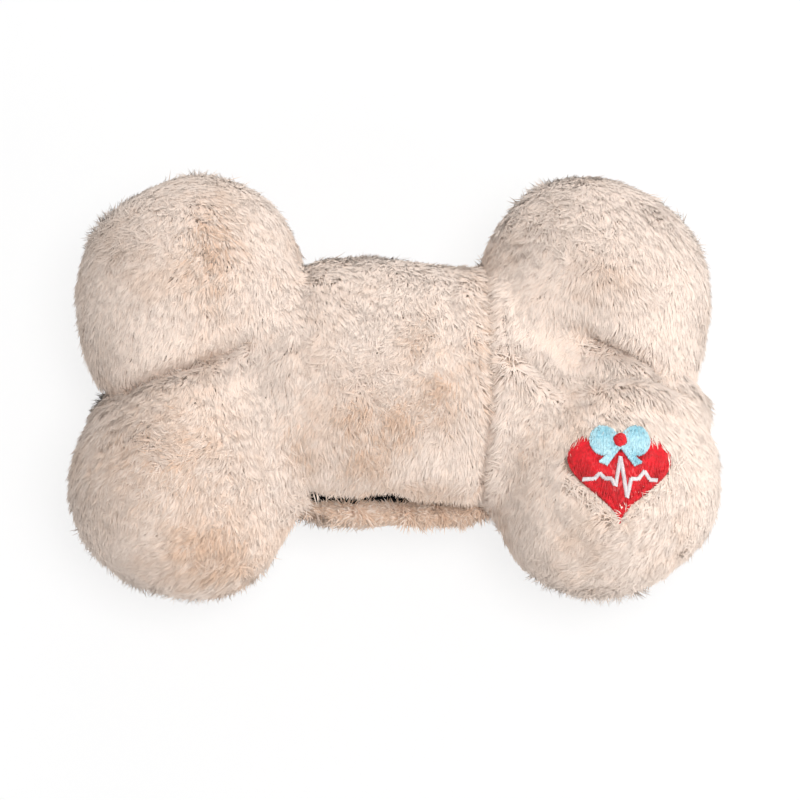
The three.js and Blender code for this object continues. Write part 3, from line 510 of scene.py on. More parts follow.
def copy_of(source, name):
    piece = source.copy()
    piece.data = source.data.copy()
    piece.name = name
    bpy.context.collection.objects.link(piece)
    return piece


def slice_off(piece, place, towards, fill=True):
    """Takes away what lies on the side of the plane that towards points to."""
    pick(piece)
    bpy.ops.object.mode_set(mode="EDIT")
    bpy.ops.mesh.select_all(action="SELECT")
    bpy.ops.mesh.bisect(plane_co=place, plane_no=towards, use_fill=fill, clear_outer=True)
    bpy.ops.object.mode_set(mode="OBJECT")


def box_cutter(low, high):
    bpy.ops.object.select_all(action="DESELECT")
    bpy.ops.mesh.primitive_cube_add(size=1)
    cutter = bpy.context.object
    for corner in cutter.data.vertices:
        corner.co = [low[i] if corner.co[i] < 0 else high[i] for i in range(3)]
    return cutter


def carve(piece, cutter, operation="DIFFERENCE", keep=False):
    pick(piece)
    bpy.ops.object.modifier_add(type="BOOLEAN")
    piece.modifiers[-1].operation = operation
    piece.modifiers[-1].solver = "EXACT"
    piece.modifiers[-1].object = cutter
    apply_all(piece)
    if not keep:
        bpy.data.objects.remove(cutter)


def stuffed(piece, body_name, fill, *nodes):
    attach(piece, body_name)
    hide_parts(*nodes)
    return piece


inside_shaft = shaft_ball("inside_shaft", -0.0015)
tidy_normals(inside_shaft)
for place_x, sign in (("left", -1), ("right", 1)):
    half = copy_of(body, f"{place_x}_half")
    slice_off(half, (sign * seam_x, 0, 0), (-sign, 0, 0))
    end = copy_of(half, f"{place_x}_end_padding")
    carve(end, inside_shaft, "INTERSECT", keep=True)
    stuffed(end, "plush", 0.7, f"{place_x}_end_cover", f"{place_x}_end_filling")
    carve(half, inside_shaft, "DIFFERENCE", keep=True)
    for place_y, across in (("lower", -1), ("upper", 1)):
        knob = copy_of(half, f"{place_y}_{place_x}_knob_padding")
        slice_off(knob, (0, across * 0.00015, 0), (0, -across, 0))
        stuffed(knob, "plush", 0.85,
                f"{place_y}_{place_x}_knob_cover", f"{place_y}_{place_x}_knob_filling")
    bpy.data.objects.remove(half)
bpy.data.objects.remove(inside_shaft)

middle = copy_of(body, "middle")
slice_off(middle, (seam_x, 0, 0), (1, 0, 0))
slice_off(middle, (-seam_x, 0, 0), (-1, 0, 0))
back = copy_of(middle, "middle_back_padding")
slice_off(back, (0, 0, lip_top), (0, 0, 1))
carve(back, box_cutter((-0.06, lip_back_y, pocket_low), (0.06, 0.09, 0.09)))
stuffed(back, "plush", 0.7, "middle_back_cover", "middle_back_filling")
front = copy_of(middle, "middle_front_padding")
slice_off(front, (0, 0, pocket_low + 0.0003), (0, 0, -1))
slice_off(front, (0, hinge_y, 0), (0, -1, 0))
carve(front, box_cutter((-0.06, -0.09, 0.03), (0.06, pocket_back_y, pocket_high)))
stuffed(front, "plush", 0.7, "middle_front_cover", "middle_front_filling", "pocket_rear_filling")
bpy.data.objects.remove(middle)

# The flap over the pocket's mouth: plush outside, lining inside, hinged on a line of stitching.
flap_wall = 0.0036
flap = copy_of(body, "pocket_flap_padding")
flap_root_y = hinge_y + 0.0016
slice_off(flap, (middle_half, 0, 0), (1, 0, 0), fill=False)
slice_off(flap, (-middle_half, 0, 0), (-1, 0, 0), fill=False)
slice_off(flap, (0, flap_root_y, 0), (0, 1, 0), fill=False)
slice_off(flap, (0, 0, hem_z), (0, 0, -1), fill=False)
flap.data.materials.append(lining_cloth)
bpy.ops.object.modifier_add(type="SOLIDIFY")
flap.modifiers[-1].thickness = flap_wall
flap.modifiers[-1].offset = -1
flap.modifiers[-1].material_offset = 1
flap.modifiers[-1].use_even_offset = True
apply_all(flap)
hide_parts("pocket_flap")
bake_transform(flap)


# The embroidery. Red thread fills a heart in close upright stitches, white thread is laid across
# it as one beat of a pulse, and a pale blue bow with a red knot sits over the heart's notch.
thread_draw = np.random.default_rng(11)
heart_waves = (13, -5, -2, -1)
bow_rise, bow_span, bow_loop_height = 0.016, 0.027, 0.012
bow_tail_length, bow_tail_width, knot_radius = 0.010, 0.004, 0.0032
pulse_shares = ((-0.36, 0), (-0.25, 0), (-0.2, 0.06), (-0.15, 0), (-0.09, 0), (-0.05, -0.08),
                (0, 0.24), (0.06, -0.2), (0.1, 0), (0.17, 0), (0.23, 0.09), (0.28, 0), (0.36, 0))
pulse_drop_share = 0.03

turns = np.linspace(0, 2 * math.pi, 96, endpoint=False)
heart_rise = sum(size * np.cos((wave + 1) * turns) for wave, size in enumerate(heart_waves))
heart_low, heart_high = heart_rise.min(), heart_rise.max()
heart_outline = np.stack([
    np.sin(turns) ** 3 * heart_width / 2,
    (heart_rise - (heart_low + heart_high) / 2) * heart_height / (heart_high - heart_low)], axis=1)


def bent(start, first, second, end, steps=14):
    share = np.linspace(0, 1, steps, endpoint=False)[:, None]
    left = 1 - share
    return (left ** 3 * np.array(start) + 3 * left * left * share * np.array(first)
            + 3 * left * share * share * np.array(second) + share ** 3 * np.array(end))


bow_outlines = []
for side in (-1, 1):
    reach = side * bow_span / 2
    low, high = (0, bow_rise - bow_tail_width / 2), (0, bow_rise + bow_tail_width / 2)
    tip = (reach, bow_rise)
    loop_low = bent(low, (reach / 2, bow_rise - bow_loop_height), (reach, bow_rise - bow_loop_height / 2), tip)
    loop_high = bent(tip, (reach, bow_rise + bow_loop_height / 2), (reach / 2, bow_rise + bow_loop_height), high)
    bow_outlines.append(np.concatenate([loop_low, loop_high, [high]]))
for side in (-1, 1):
    foot = bow_rise - bow_tail_length
    corners = np.array([(0, bow_rise), (side * bow_tail_length, foot),
                        (side * (bow_tail_length - bow_tail_width), foot - bow_tail_width / 2),
                        (0, bow_rise - bow_tail_width)])
    edges = [corners[i] + (corners[(i + 1) % 4] - corners[i]) * share
             for i in range(4) for share in np.linspace(0, 1, 7, endpoint=False)]
    bow_outlines.append(np.array(edges))
knot_outline = np.stack([np.cos(turns), np.sin(turns)], axis=1) * knot_radius + (0, bow_rise)


def inside(outline, x, y, grown=1.0):
    centre = outline.mean(axis=0)
    corners = centre + (outline - centre) * grown
    crossings = np.zeros(np.shape(x), int)
    for a, b in zip(corners, np.roll(corners, -1, axis=0)):
        spans = (a[1] > y) != (b[1] > y)
        slope = (b[0] - a[0]) / (b[1] - a[1] if b[1] != a[1] else 1e-12)
        crossings += spans & (x < a[0] + (y - a[1]) * slope)
    return crossings % 2 == 1


def knob_top(x, y, grown):
    """Height of the lower right knob's outside, grown outwards, at places on the table's plane."""
    over, under = x - knob_x, -y - knob_y
    reach = np.array([knob_reach(math.atan2(v, u)) for u, v in zip(np.ravel(over), np.ravel(under))])
    flat = np.hypot(over, under) / (reach.reshape(np.shape(over)) + grown)
    return knob_z + (knob_half_height + grown) * np.sqrt(np.maximum(1 - flat * flat, 0.0))


def sewn_pad(name, outline, low, high, rings=7):
    """A crowned pad under the stitches, drawn in from its outline ring by ring."""
    bpy.ops.object.select_all(action="DESELECT")
    bpy.ops.mesh.primitive_circle_add(vertices=len(outline), radius=0.01, fill_type="NOTHING")
    pad = bpy.context.object
    pad.name = name
    for corner, (x, y) in zip(pad.data.vertices, outline):
        corner.co = (x, y, 0)
    middle = Vector((*outline.mean(axis=0), 0))
    bpy.ops.object.mode_set(mode="EDIT")
    bpy.ops.mesh.select_all(action="SELECT")
    for ring in range(rings, 1, -1):
        bpy.ops.mesh.extrude_edges_move()
        shrink = (ring - 1) / ring
        bpy.ops.transform.resize(value=(shrink, shrink, 1), center_override=middle)
    bpy.ops.mesh.edge_face_add()
    bpy.ops.mesh.poke()
    bpy.ops.object.mode_set(mode="OBJECT")
    points = points_of(pad)
    flat = points[:, :2] - outline.mean(axis=0)
    edge = outline - outline.mean(axis=0)
    edge_turns = np.arctan2(edge[:, 1], edge[:, 0])
    order = np.argsort(edge_turns)
    edge_reach = np.interp(np.arctan2(flat[:, 1], flat[:, 0]), edge_turns[order],
                           np.hypot(edge[:, 0], edge[:, 1])[order], period=2 * math.pi)
    share = np.clip(np.hypot(flat[:, 0], flat[:, 1]) / np.maximum(edge_reach, 1e-6), 0, 1)
    x, y = points[:, 0] + heart_x, points[:, 1] + heart_y
    crown = low + (high - low) * np.sqrt(1 - share ** 4)
    set_points(pad, np.stack([x, y, knob_top(x, y, 0.0) + crown], axis=1))
    tidy_normals(pad)
    if sum(polygon.normal.z for polygon in pad.data.polygons) < 0:
        pad.data.flip_normals()
    bpy.ops.object.modifier_add(type="SOLIDIFY")
    pad.modifiers[-1].thickness = 0.0016
    pad.modifiers[-1].offset = -1
    apply_all(pad)
    pick(pad)
    bpy.ops.object.shade_smooth()
    return pad


def satin(outline, pitch, longest, slant=0.0, overshoot=0.00025, shortest=0.001):
    """Rows of stitches side by side over the outline: start and end of each, in plan."""
    turn = np.array([[math.cos(slant), math.sin(slant)], [-math.sin(slant), math.cos(slant)]])
    corners = outline @ turn.T
    found = []
    for x in np.arange(corners[:, 0].min() + pitch / 2, corners[:, 0].max(), pitch):
        meets = []
        for a, b in zip(corners, np.roll(corners, -1, axis=0)):
            if (a[0] > x) != (b[0] > x):
                meets.append(a[1] + (x - a[0]) * (b[1] - a[1]) / (b[0] - a[0]))
        meets.sort()
        for low, high in zip(meets[::2], meets[1::2]):
            low -= thread_draw.uniform(0, overshoot)
            high += thread_draw.uniform(0, overshoot)
            cuts = [low, *np.arange(low + longest * thread_draw.uniform(0.3, 1.0), high, longest), high]
            if len(cuts) > 2 and cuts[-1] - cuts[-2] < longest * 0.25:
                del cuts[-2]
            for a, b in zip(cuts, cuts[1:]):
                if b - a < shortest:
                    continue
                sway = thread_draw.normal(scale=pitch * 0.12, size=2)
                found.append(((x + sway[0], a), (x + sway[1], b)))
    return [(np.array(a) @ turn, np.array(b) @ turn) for a, b in found]


def sew(name, stitches, half_width, height, pads, finish, body_name, slot_name, *nodes):
    """Each stitch is one strand of thread, pulled down at both ends, on top of its pads."""
    starts = np.array([a for a, b in stitches])
    ends = np.array([b for a, b in stitches])
    shares = np.array([0.0, 0.16, 0.5, 0.84, 1.0])
    plan = starts[:, None] + (ends - starts)[:, None] * shares[None, :, None]
    x, y = plan[..., 0] + heart_x, plan[..., 1] + heart_y
    arch = np.array([-0.0007, -0.00006, 0.00010, -0.00006, -0.0007])
    z = knob_top(x, y, 0.0) + height(plan[..., 0], plan[..., 1]) + arch
    line = np.stack([x, y, z], axis=-1)
    along = unit((line[:, -1] - line[:, 0]))
    beside = unit(np.cross(along, (0, 0, 1.0)))
    above = np.cross(beside, along)
    rings = []
    for i in (1, 2, 3):
        width = half_width * (1.0 if i == 2 else 0.82)
        rings += [line[:, i] + width * (beside * c + 0.8 * above * d)
                  for c, d in ((1, 0), (0, 1), (-1, 0), (0, -1))]
    points = np.stack([line[:, 0], *rings, line[:, 4]], axis=1).reshape(-1, 3)
    faces = []
    for k in range(4):
        following = (k + 1) % 4
        faces.append((0, 1 + k, 1 + following))
        faces.append((13, 9 + following, 9 + k))
        for ring in (1, 5):
            faces.append((ring + k, ring + 4 + k, ring + 4 + following))
            faces.append((ring + k, ring + 4 + following, ring + following))
    count = len(stitches)
    all_faces = (np.array(faces)[None] + 14 * np.arange(count)[:, None, None]).reshape(-1, 3)
    mesh = bpy.data.meshes.new(name)
    mesh.from_pydata(points.tolist(), [], all_faces.tolist())
    threads = bpy.data.objects.new(name, mesh)
    bpy.context.collection.objects.link(threads)
    pick(threads, *pads)
    if pads:
        bpy.ops.object.join()
    tidy_normals(threads)
    pick(threads)
    bpy.ops.object.shade_smooth()
    threads.name = name
    threads.data.materials.clear()
    threads.data.materials.append(finish)
    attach(threads, body_name)
    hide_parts(*nodes)
    return threads


def thread_finish(name, colour, dark):
    material, tree, shader = new_material(name, roughness=0.42, specular=0.45)
    shader.inputs["Sheen Weight"].default_value = 0.08
    coords = add_node(tree, "ShaderNodeTexCoord")
    strands_noise = add_node(tree, "ShaderNodeTexNoise", [
        ("Vector", coords.outputs["Object"]), ("Scale", 900.0), ("Detail", 2.0)])
    broad = add_node(tree, "ShaderNodeTexNoise", [
        ("Vector", coords.outputs["Object"]), ("Scale", 140.0), ("Detail", 2.0)])
    both_noise = add_node(tree, "ShaderNodeMath", [
        (0, strands_noise.outputs["Fac"]), (1, 0.6), (2, broad.outputs["Fac"])], operation="MULTIPLY_ADD")
    span = add_node(tree, "ShaderNodeMapRange", [
        ("Value", both_noise.outputs[0]), ("From Min", 0.6), ("From Max", 0.95)])
    colours = add_node(tree, "ShaderNodeMix", [
        ("Factor", span.outputs[0]), (6, dark), (7, colour)], data_type="RGBA")
    tree.links.new(colours.outputs[2], shader.inputs["Base Color"])
    raise_from(tree, shader, strands_noise.outputs["Fac"], 0.35, 0.0002)
    return material


def unit(vectors):
    return vectors / np.maximum(np.linalg.norm(vectors, axis=-1), 1e-9)[..., None]


def level(value):
    return lambda u, v: np.full(np.shape(u), value)


red_thread = thread_finish("red_thread", srgb(0.93, 0.06, 0.14), srgb(0.74, 0.01, 0.06))
white_thread = thread_finish("white_thread", srgb(0.93, 0.91, 0.91), srgb(0.84, 0.80, 0.81))
blue_thread = thread_finish("blue_thread", srgb(0.80, 0.94, 0.97), srgb(0.60, 0.82, 0.88))

heart_low_height, heart_high_height = -0.0016, -0.0004


def heart_crown(u, v):
    off = np.clip(np.hypot(u / (heart_width / 2), (v + 0.001) / (heart_height / 2)), 0, 1)
    return heart_low_height + (heart_high_height - heart_low_height) * np.sqrt(1 - off ** 4) + 0.00015


heart_pad = sewn_pad("heart_pad", heart_outline, heart_low_height, heart_high_height)
sew("heart_threads", satin(heart_outline, 0.00046, 0.0075, slant=0.06), 0.00029, heart_crown,
    [heart_pad], red_thread, "plush", "red_thread", "heart_patch")

pulse_line = np.array([(u * heart_width, (v - pulse_drop_share) * heart_height) for u, v in pulse_shares])
pulse_stitches = []
for a, b in zip(pulse_line, pulse_line[1:]):
    run = b - a
    across = np.array([-run[1], run[0]]) / np.linalg.norm(run)
    for share in np.arange(0, 1, 0.00034 / np.linalg.norm(run)):
        middle_point = a + run * share
        reach = 0.00108 + thread_draw.uniform(-0.00008, 0.00008)
        lag = run / np.linalg.norm(run) * 0.00030
        pulse_stitches.append((middle_point - across * reach - lag, middle_point + across * reach + lag))
sew("pulse_threads", pulse_stitches, 0.00024,
    lambda u, v: heart_crown(u, v) + 0.00055, [], white_thread, "plush", "white_thread", "pulse_line")

bow_pads = [sewn_pad("bow_pad", outline, -0.0010, 0.0006, rings=5) for outline in bow_outlines]
bow_stitches = [stitch for outline in bow_outlines for stitch in satin(outline, 0.00046, 0.006, slant=-0.25)]
sew("bow_threads", bow_stitches, 0.00029, level(0.00075), bow_pads, blue_thread,
    "plush", "blue_thread", "bow_ribbon")

knot_pad = sewn_pad("knot_pad", knot_outline, 0.0004, 0.0018, rings=5)
sew("bow_knot_threads", satin(knot_outline, 0.00042, 0.008, slant=1.2), 0.00027,
    lambda u, v: 0.0004 + 0.0016 * np.sqrt(np.clip(
        1 - (u * u + (v - bow_rise) ** 2) / (knot_radius * 1.15) ** 2, 0, 1)),
    [knot_pad], red_thread, "plush", "red_thread", "bow_knot")


# The pile: long soft fibres knitted into the cloth, each thicker in the middle and drawn to a tip.
# They lean with the nap, in tufts. Every strand has its own small place on the piece's map.
random = np.random.default_rng(23)
strand_length = 0.0092
strand_half_width = 0.00040
strand_curl = 0.0007
strands_per_mm2 = 2.4
tuft_size = 13


def wavy(points, wavelength, seed, waves=7):
    """A smooth field of three numbers from about -1 to 1 that changes over the wavelength."""
    draw = np.random.default_rng(seed)
    total = np.zeros((len(points), 3))
    for _ in range(waves):
        direction = draw.normal(size=3)
        direction /= np.linalg.norm(direction)
        turns = 2 * math.pi / (wavelength * draw.uniform(0.7, 1.5))
        phase = points @ (direction * turns)
        total += np.sin(phase[:, None] + draw.uniform(0, 2 * math.pi, 3)) * draw.normal(size=3)
    return total / math.sqrt(waves)


def roots_on(cloth, weight_at):
    """Root places and cloth normals, spread evenly over the cloth and thinned by weight_at."""
    mesh = cloth.data
    mesh.calc_loop_triangles()
    corners = np.empty(len(mesh.loop_triangles) * 3, np.int32)
    mesh.loop_triangles.foreach_get("vertices", corners)
    corners = corners.reshape(-1, 3)
    points, normals = points_of(cloth), normals_of(cloth)
    a, b, c = (points[corners[:, i]] for i in range(3))
    area = np.linalg.norm(np.cross(b - a, c - a), axis=1) / 2
    weight = area * weight_at((a + b + c) / 3)
    wanted = int(weight.sum() * 1e6 * strands_per_mm2)
    chosen = random.choice(len(area), size=wanted, p=weight / weight.sum())
    u, v = random.random(wanted), random.random(wanted)
    flip = u + v > 1
    u[flip], v[flip] = 1 - u[flip], 1 - v[flip]
    shares = np.stack([1 - u - v, u, v], axis=1)
    picked = corners[chosen]
    places = sum(points[picked[:, i]] * shares[:, i:i + 1] for i in range(3))
    facing = unit(sum(normals[picked[:, i]] * shares[:, i:i + 1] for i in range(3)))
    return places, facing


def strands(places, facing, nap, lean, length, half_width):
    """Middle and tip points of strands that stand on the cloth and lean over along the nap."""
    along = unit(nap - facing * np.sum(nap * facing, axis=1)[:, None])
    first, second = lean - 0.38, np.minimum(lean + 0.22, 1.52)
    sideways = np.cross(facing, along) * (random.normal(size=len(places)) * strand_curl)[:, None]
    middles = sideways + places + (length * 0.4)[:, None] * (
        facing * np.cos(first)[:, None] + along * np.sin(first)[:, None])
    tips = middles + (length * 0.6)[:, None] * (
        facing * np.cos(second)[:, None] + along * np.sin(second)[:, None])
    return middles, tips


def gather(tips, places, length, size, pull):
    """Draws the tips of neighbouring strands together into tufts."""
    count = max(1, len(tips) // size)
    centres = random.choice(len(tips), size=count, replace=False)
    tree = kdtree.KDTree(count)
    for order, index in enumerate(centres):
        tree.insert(places[index], order)
    tree.balance()
    nearest = np.array([tree.find(place)[1] for place in places])
    leader = centres[nearest]
    shared = tips[leader] - places[leader]
    own = tips - places
    towards_middle = (places[leader] - places) * 0.55
    amount = pull[:, None]
    gathered = own * (1 - amount) + (shared + towards_middle) * amount
    gathered *= (np.linalg.norm(own, axis=1) / np.maximum(np.linalg.norm(gathered, axis=1), 1e-9))[:, None]
    return places + gathered, nearest


def pile_mesh(name, places, facing, middles, tips, half_width, tone, tan=None):
    count = len(places)
    axis = unit(tips - places)
    side = unit(np.cross(axis, facing + 1e-4))
    lift = np.cross(side, axis)
    ring = []
    for turn in (math.pi / 2, math.pi * 7 / 6, math.pi * 11 / 6):
        ring.append(middles + half_width[:, None] * (side * math.cos(turn) + lift * math.sin(turn)))
    points = np.stack([places, *ring, tips], axis=1).reshape(-1, 3)
    points[:, 2] = np.maximum(points[:, 2], 0.0003)
    pattern = np.array([[0, 1, 2], [0, 2, 3], [0, 3, 1], [4, 2, 1], [4, 3, 2], [4, 1, 3]])
    faces = (pattern[None] + 5 * np.arange(count)[:, None, None]).reshape(-1)
    mesh = bpy.data.meshes.new(name)
    mesh.vertices.add(len(points))
    mesh.vertices.foreach_set("co", points.astype(np.float32).ravel())
    mesh.loops.add(len(faces))
    mesh.loops.foreach_set("vertex_index", faces.astype(np.int32))
    mesh.polygons.add(len(faces) // 3)
    mesh.polygons.foreach_set("loop_start", np.arange(0, len(faces), 3, dtype=np.int32))
    mesh.update(calc_edges=True)
    across = int(math.ceil(math.sqrt(count)))
    column, row = np.arange(count) % across, np.arange(count) // across
    in_cell = {0: (0.5, 0.1), 1: (0.2, 0.42), 2: (0.5, 0.42), 3: (0.8, 0.42), 4: (0.5, 0.9)}
    cell_uv = np.array([[in_cell[i] for i in face] for face in pattern])
    cell_uv[2, 1:] = [(0.35, 0.42), (0.65, 0.42)]
    cell_uv[5, 1:] = [(0.65, 0.42), (0.35, 0.42)]
    uv = (cell_uv[None] + np.stack([column, row], axis=1)[:, None, None]) / across
    layer = mesh.uv_layers.new(name="OFBake")
    layer.data.foreach_set("uv", uv.astype(np.float32).ravel())
    rise = mesh.attributes.new("rise", "FLOAT", "POINT")
    rise.data.foreach_set("value", np.tile([0.0, 0.4, 0.4, 0.4, 1.0], count).astype(np.float32))
    own_tone = mesh.attributes.new("tone", "FLOAT", "POINT")
    own_tone.data.foreach_set("value", np.repeat(tone, 5).astype(np.float32))
    own_tan = mesh.attributes.new("tan", "FLOAT", "POINT")
    own_tan.data.foreach_set("value", np.repeat(np.zeros(count) if tan is None else tan, 5).astype(np.float32))
    mesh.polygons.foreach_set("use_smooth", np.ones(len(faces) // 3, bool))
    outward = np.repeat(facing, 5, axis=0).reshape(-1, 5, 3)
    for order, turn in enumerate((math.pi / 2, math.pi * 7 / 6, math.pi * 11 / 6), start=1):
        outward[:, order] += 0.32 * (side * math.cos(turn) + lift * math.sin(turn))
    soft_normal = mesh.attributes.new("custom_normal", "FLOAT_VECTOR", "POINT")
    soft_normal.data.foreach_set("vector", unit(outward.reshape(-1, 3)).astype(np.float32).ravel())
    piece = bpy.data.objects.new(name, mesh)
    bpy.context.collection.objects.link(piece)
    return piece


# The pile's colour: cream with a warmer tan in patches, where the nap also opens, paler tips
# and darker roots, and a small difference from strand to strand. The darker roots are partly the
# fibre's own darker base and partly painted shade for the shade deep in the pile. The tan also
# carries painted shade: along the creases, on the lower lip and hem, and along the right cross seam.
pile_material, pile_tree, pile_shader = new_material("plush_pile", roughness=0.8, specular=0.5)
pile_shader.inputs["Sheen Weight"].default_value = 0.15
pile_shader.inputs["Sheen Roughness"].default_value = 0.5
pile_shader.inputs["Sheen Tint"].default_value = srgb(1.0, 0.96, 0.92)
rise_value = add_node(pile_tree, "ShaderNodeAttribute", attribute_name="rise")
tone_value = add_node(pile_tree, "ShaderNodeAttribute", attribute_name="tone")
where = add_node(pile_tree, "ShaderNodeTexCoord")
wide_patch = add_node(pile_tree, "ShaderNodeTexNoise", [
    ("Vector", where.outputs["Object"]), ("Scale", 21.0), ("Detail", 3.0), ("Roughness", 0.6)])
fine_patch = add_node(pile_tree, "ShaderNodeTexNoise", [
    ("Vector", where.outputs["Object"]), ("Scale", 130.0), ("Detail", 2.0)])
patch_sum = add_node(pile_tree, "ShaderNodeMath", [
    (0, fine_patch.outputs["Fac"]), (1, 0.45), (2, wide_patch.outputs["Fac"])], operation="MULTIPLY_ADD")
patch = add_node(pile_tree, "ShaderNodeMapRange", [
    ("Value", patch_sum.outputs[0]), ("From Min", 0.66), ("From Max", 0.98)], interpolation_type="SMOOTHSTEP")
tan_value = add_node(pile_tree, "ShaderNodeAttribute", attribute_name="tan")
tan_and_shade_sum = add_node(pile_tree, "ShaderNodeMath", [
    (0, patch.outputs[0]), (1, 0.4), (2, tan_value.outputs["Fac"])], operation="MULTIPLY_ADD", use_clamp=True)
tip_colour = add_node(pile_tree, "ShaderNodeMix", [
    ("Factor", tan_and_shade_sum.outputs[0]), (6, srgb(1.0, 0.928, 0.874)), (7, srgb(0.92, 0.79, 0.69))],
    data_type="RGBA")
# Roots are darker than tips: partly the fibre's own darker base, partly painted shade from deep in the pile.
shaded_root_colour = add_node(pile_tree, "ShaderNodeMix", [
    ("Factor", tan_and_shade_sum.outputs[0]), (6, srgb(0.98, 0.87, 0.795)), (7, srgb(0.82, 0.66, 0.55))],
    data_type="RGBA")
up_strand = add_node(pile_tree, "ShaderNodeMapRange", [
    ("Value", rise_value.outputs["Fac"]), ("From Min", 0.05), ("From Max", 0.65)])
strand_colour = add_node(pile_tree, "ShaderNodeMix", [
    ("Factor", up_strand.outputs[0]), (6, shaded_root_colour.outputs[2]), (7, tip_colour.outputs[2])],
    data_type="RGBA")
# The strand's tone scales its colour; below zero it is the painted shade on the crease lines.
strand_shade = add_node(pile_tree, "ShaderNodeMapRange", [
    ("Value", tone_value.outputs["Fac"]), ("To Min", 0.965), ("To Max", 1.02)], clamp=False)
pile_colour = add_node(pile_tree, "ShaderNodeVectorMath", [
    (0, strand_colour.outputs[2]), ("Scale", strand_shade.outputs[0])], operation="SCALE")
pile_tree.links.new(pile_colour.outputs[0], pile_shader.inputs["Base Color"])


# Where each strand grows. Underneath, where the toy lies on the table, the pile is thinner, and
# there is none in the pocket's mouth or under the embroidery.
def pile_weight(points):
    x, y, z = points.T
    weight = np.where(z < 0.02, 0.45, 1.0)
    mouth = (np.abs(x) < 0.0405) & (y < -0.02) & (z > lip_top) & (z < hem_z)
    weight = np.where(mouth, 0.0, weight)
    on_knob = (x > 0.06) & (y < -0.02) & (z > knob_z)
    for outline in (heart_outline, *bow_outlines):
        covered = inside(outline, x - heart_x, y - heart_y, 0.93)
        covered |= inside(outline, x - heart_x, y - heart_y, 1.01) & (y - heart_y > 0.004)
        weight = np.where(on_knob & covered, 0.0, weight)
    for line, width, depth, crease_shade_strength in creases:
        near_crease = (off_line(points[:, :2], line)[0] < 0.004) & (z > 0.05)
        weight = np.where(near_crease, weight * 1.3, weight)
    near_heart = on_knob & inside(heart_outline, x - heart_x, y - heart_y, 1.12) & (y < heart_y)
    return np.where(near_heart, weight * 1.5, weight)


all_roots, all_facing = roots_on(body, pile_weight)
count = len(all_roots)
swirl = 0.8 * wavy(all_roots, 0.085, 5) + 0.65 * wavy(all_roots, 0.022, 6) + 0.35 * wavy(all_roots, 0.009, 7)
nap = swirl * 0.38 + np.array([-0.25, -0.95, -0.2]) + random.normal(size=(count, 3)) * 0.30
nap += np.clip(all_facing[:, 1:2], 0, 1) * np.array([0.9, 0.0, 0.8])
lean = 1.24 + 0.08 * wavy(all_roots, 0.03, 8)[:, 0] + random.normal(size=count) * 0.10
length = strand_length * random.uniform(0.84, 1.10, count)

# The plush is a warmer tan in places, as in the photo. Most spots are patches of its colour; the strong spot on the
# lower lip under the flap's hem and the strip along the right cross seam are painted shade.
tan_spots = [(-0.082, 0.052, 0.012, 0.026, 0.8), (-0.015, -0.025, 0.010, 0.011, 0.9),
             (0.002, -0.027, 0.012, 0.010, 1.1), (-0.012, -0.039, 0.013, 0.010, 0.9),
             (0.021, -0.016, 0.011, 0.014, 0.8), (0.013, 0.010, 0.009, 0.014, 0.5),
             (-0.043, -0.034, 0.009, 0.012, 0.6),
             (-0.080, -0.080, 0.016, 0.012, 0.9), (0.099, 0.040, 0.009, 0.012, 0.3),
             (-0.100, -0.045, 0.036, 0.030, 0.55),
             (-0.118, -0.040, 0.012, 0.016, 0.5), (0.062, -0.040, 0.008, 0.018, 0.4),
             (0.040, 0.000, 0.006, 0.050, 0.6), (0.000, -0.060, 0.040, 0.010, 1.3)]
x, y, z = all_roots.T
tan_and_shade_share = np.zeros(count)
for spot_x, spot_y, reach_x, reach_y, strength in tan_spots:
    off_spot = np.hypot((x - spot_x) / reach_x, (y - spot_y) / reach_y)
    tan_and_shade_share = np.maximum(tan_and_shade_share, strength * np.exp(-off_spot ** 2) * (z > 0.03))
tan_and_shade_share *= np.clip(0.75 + 0.8 * wavy(all_roots, 0.0045, 31)[:, 0], 0.0, 1.6)
on_lip = (np.abs(x) < seam_x) & (y < -0.052)
lean = np.clip(lean - 0.5 * np.minimum(tan_and_shade_share, 1.2) * ~on_lip - 0.06 * on_lip, 0.6, 1.42)
lean += 0.10 * np.clip(all_facing[:, 1] - 0.3, 0, 1)
nap += random.normal(size=(count, 3)) * (0.55 * np.minimum(tan_and_shade_share, 1.2) * ~on_lip)[:, None]

# Beside the heart's lower edges half of the strands fall inwards over the stitches, short and loose.
x, y, z = all_roots.T
beside_heart = (z > knob_z) & (x > 0.06) & (y - heart_y < 0.002)
beside_heart &= inside(heart_outline, x - heart_x, y - heart_y, 1.22)
inwards = beside_heart & (random.random(count) < np.where(x < heart_x, 0.8, 0.5))
to_heart = unit(np.stack([heart_x - x, heart_y + 0.004 - y, np.zeros(count)], axis=1))
nap[inwards] = to_heart[inwards] + random.normal(size=(int(inwards.sum()), 3)) * 0.45
in_notch = (z > knob_z) & (np.abs(x - heart_x) < 0.0045) & (y - heart_y > 0.002) & (y - heart_y < 0.022)
length = np.where(in_notch, length * 0.4, length)
lean[inwards] = random.uniform(0.95, 1.2, int(inwards.sum()))
length[inwards] *= 0.55

# Along a crease the strands of both sides lean in and meet. Those on the crease's line are painted darker and tan:
# painted shade for the shadow in the crease.
crease_painted_shade = np.zeros(count)
for line, width, depth, crease_shade_strength in creases:
    off_crease, along, towards = off_line(all_roots[:, :2], line)
    fade = np.clip(np.minimum(along, 1 - along) / 0.12, 0, 1) * (z > 0.05)
    share = (np.exp(-(off_crease / 0.0055) ** 2) * fade)[:, None]
    nap = nap * (1 - share) + np.pad(towards, ((0, 0), (0, 1))) * 1.4 * share
    shorter = 0.0034 + 1.0 * off_crease + 0.006 * (1 - fade)
    length = np.where(z > 0.05, np.minimum(length, shorter), length)
    line_painted_shade = crease_shade_strength * np.exp(-(off_crease / 0.0017) ** 2) * fade
    crease_painted_shade = np.maximum(crease_painted_shade, line_painted_shade)
tan_and_shade_share = np.maximum(tan_and_shade_share, crease_painted_shade)

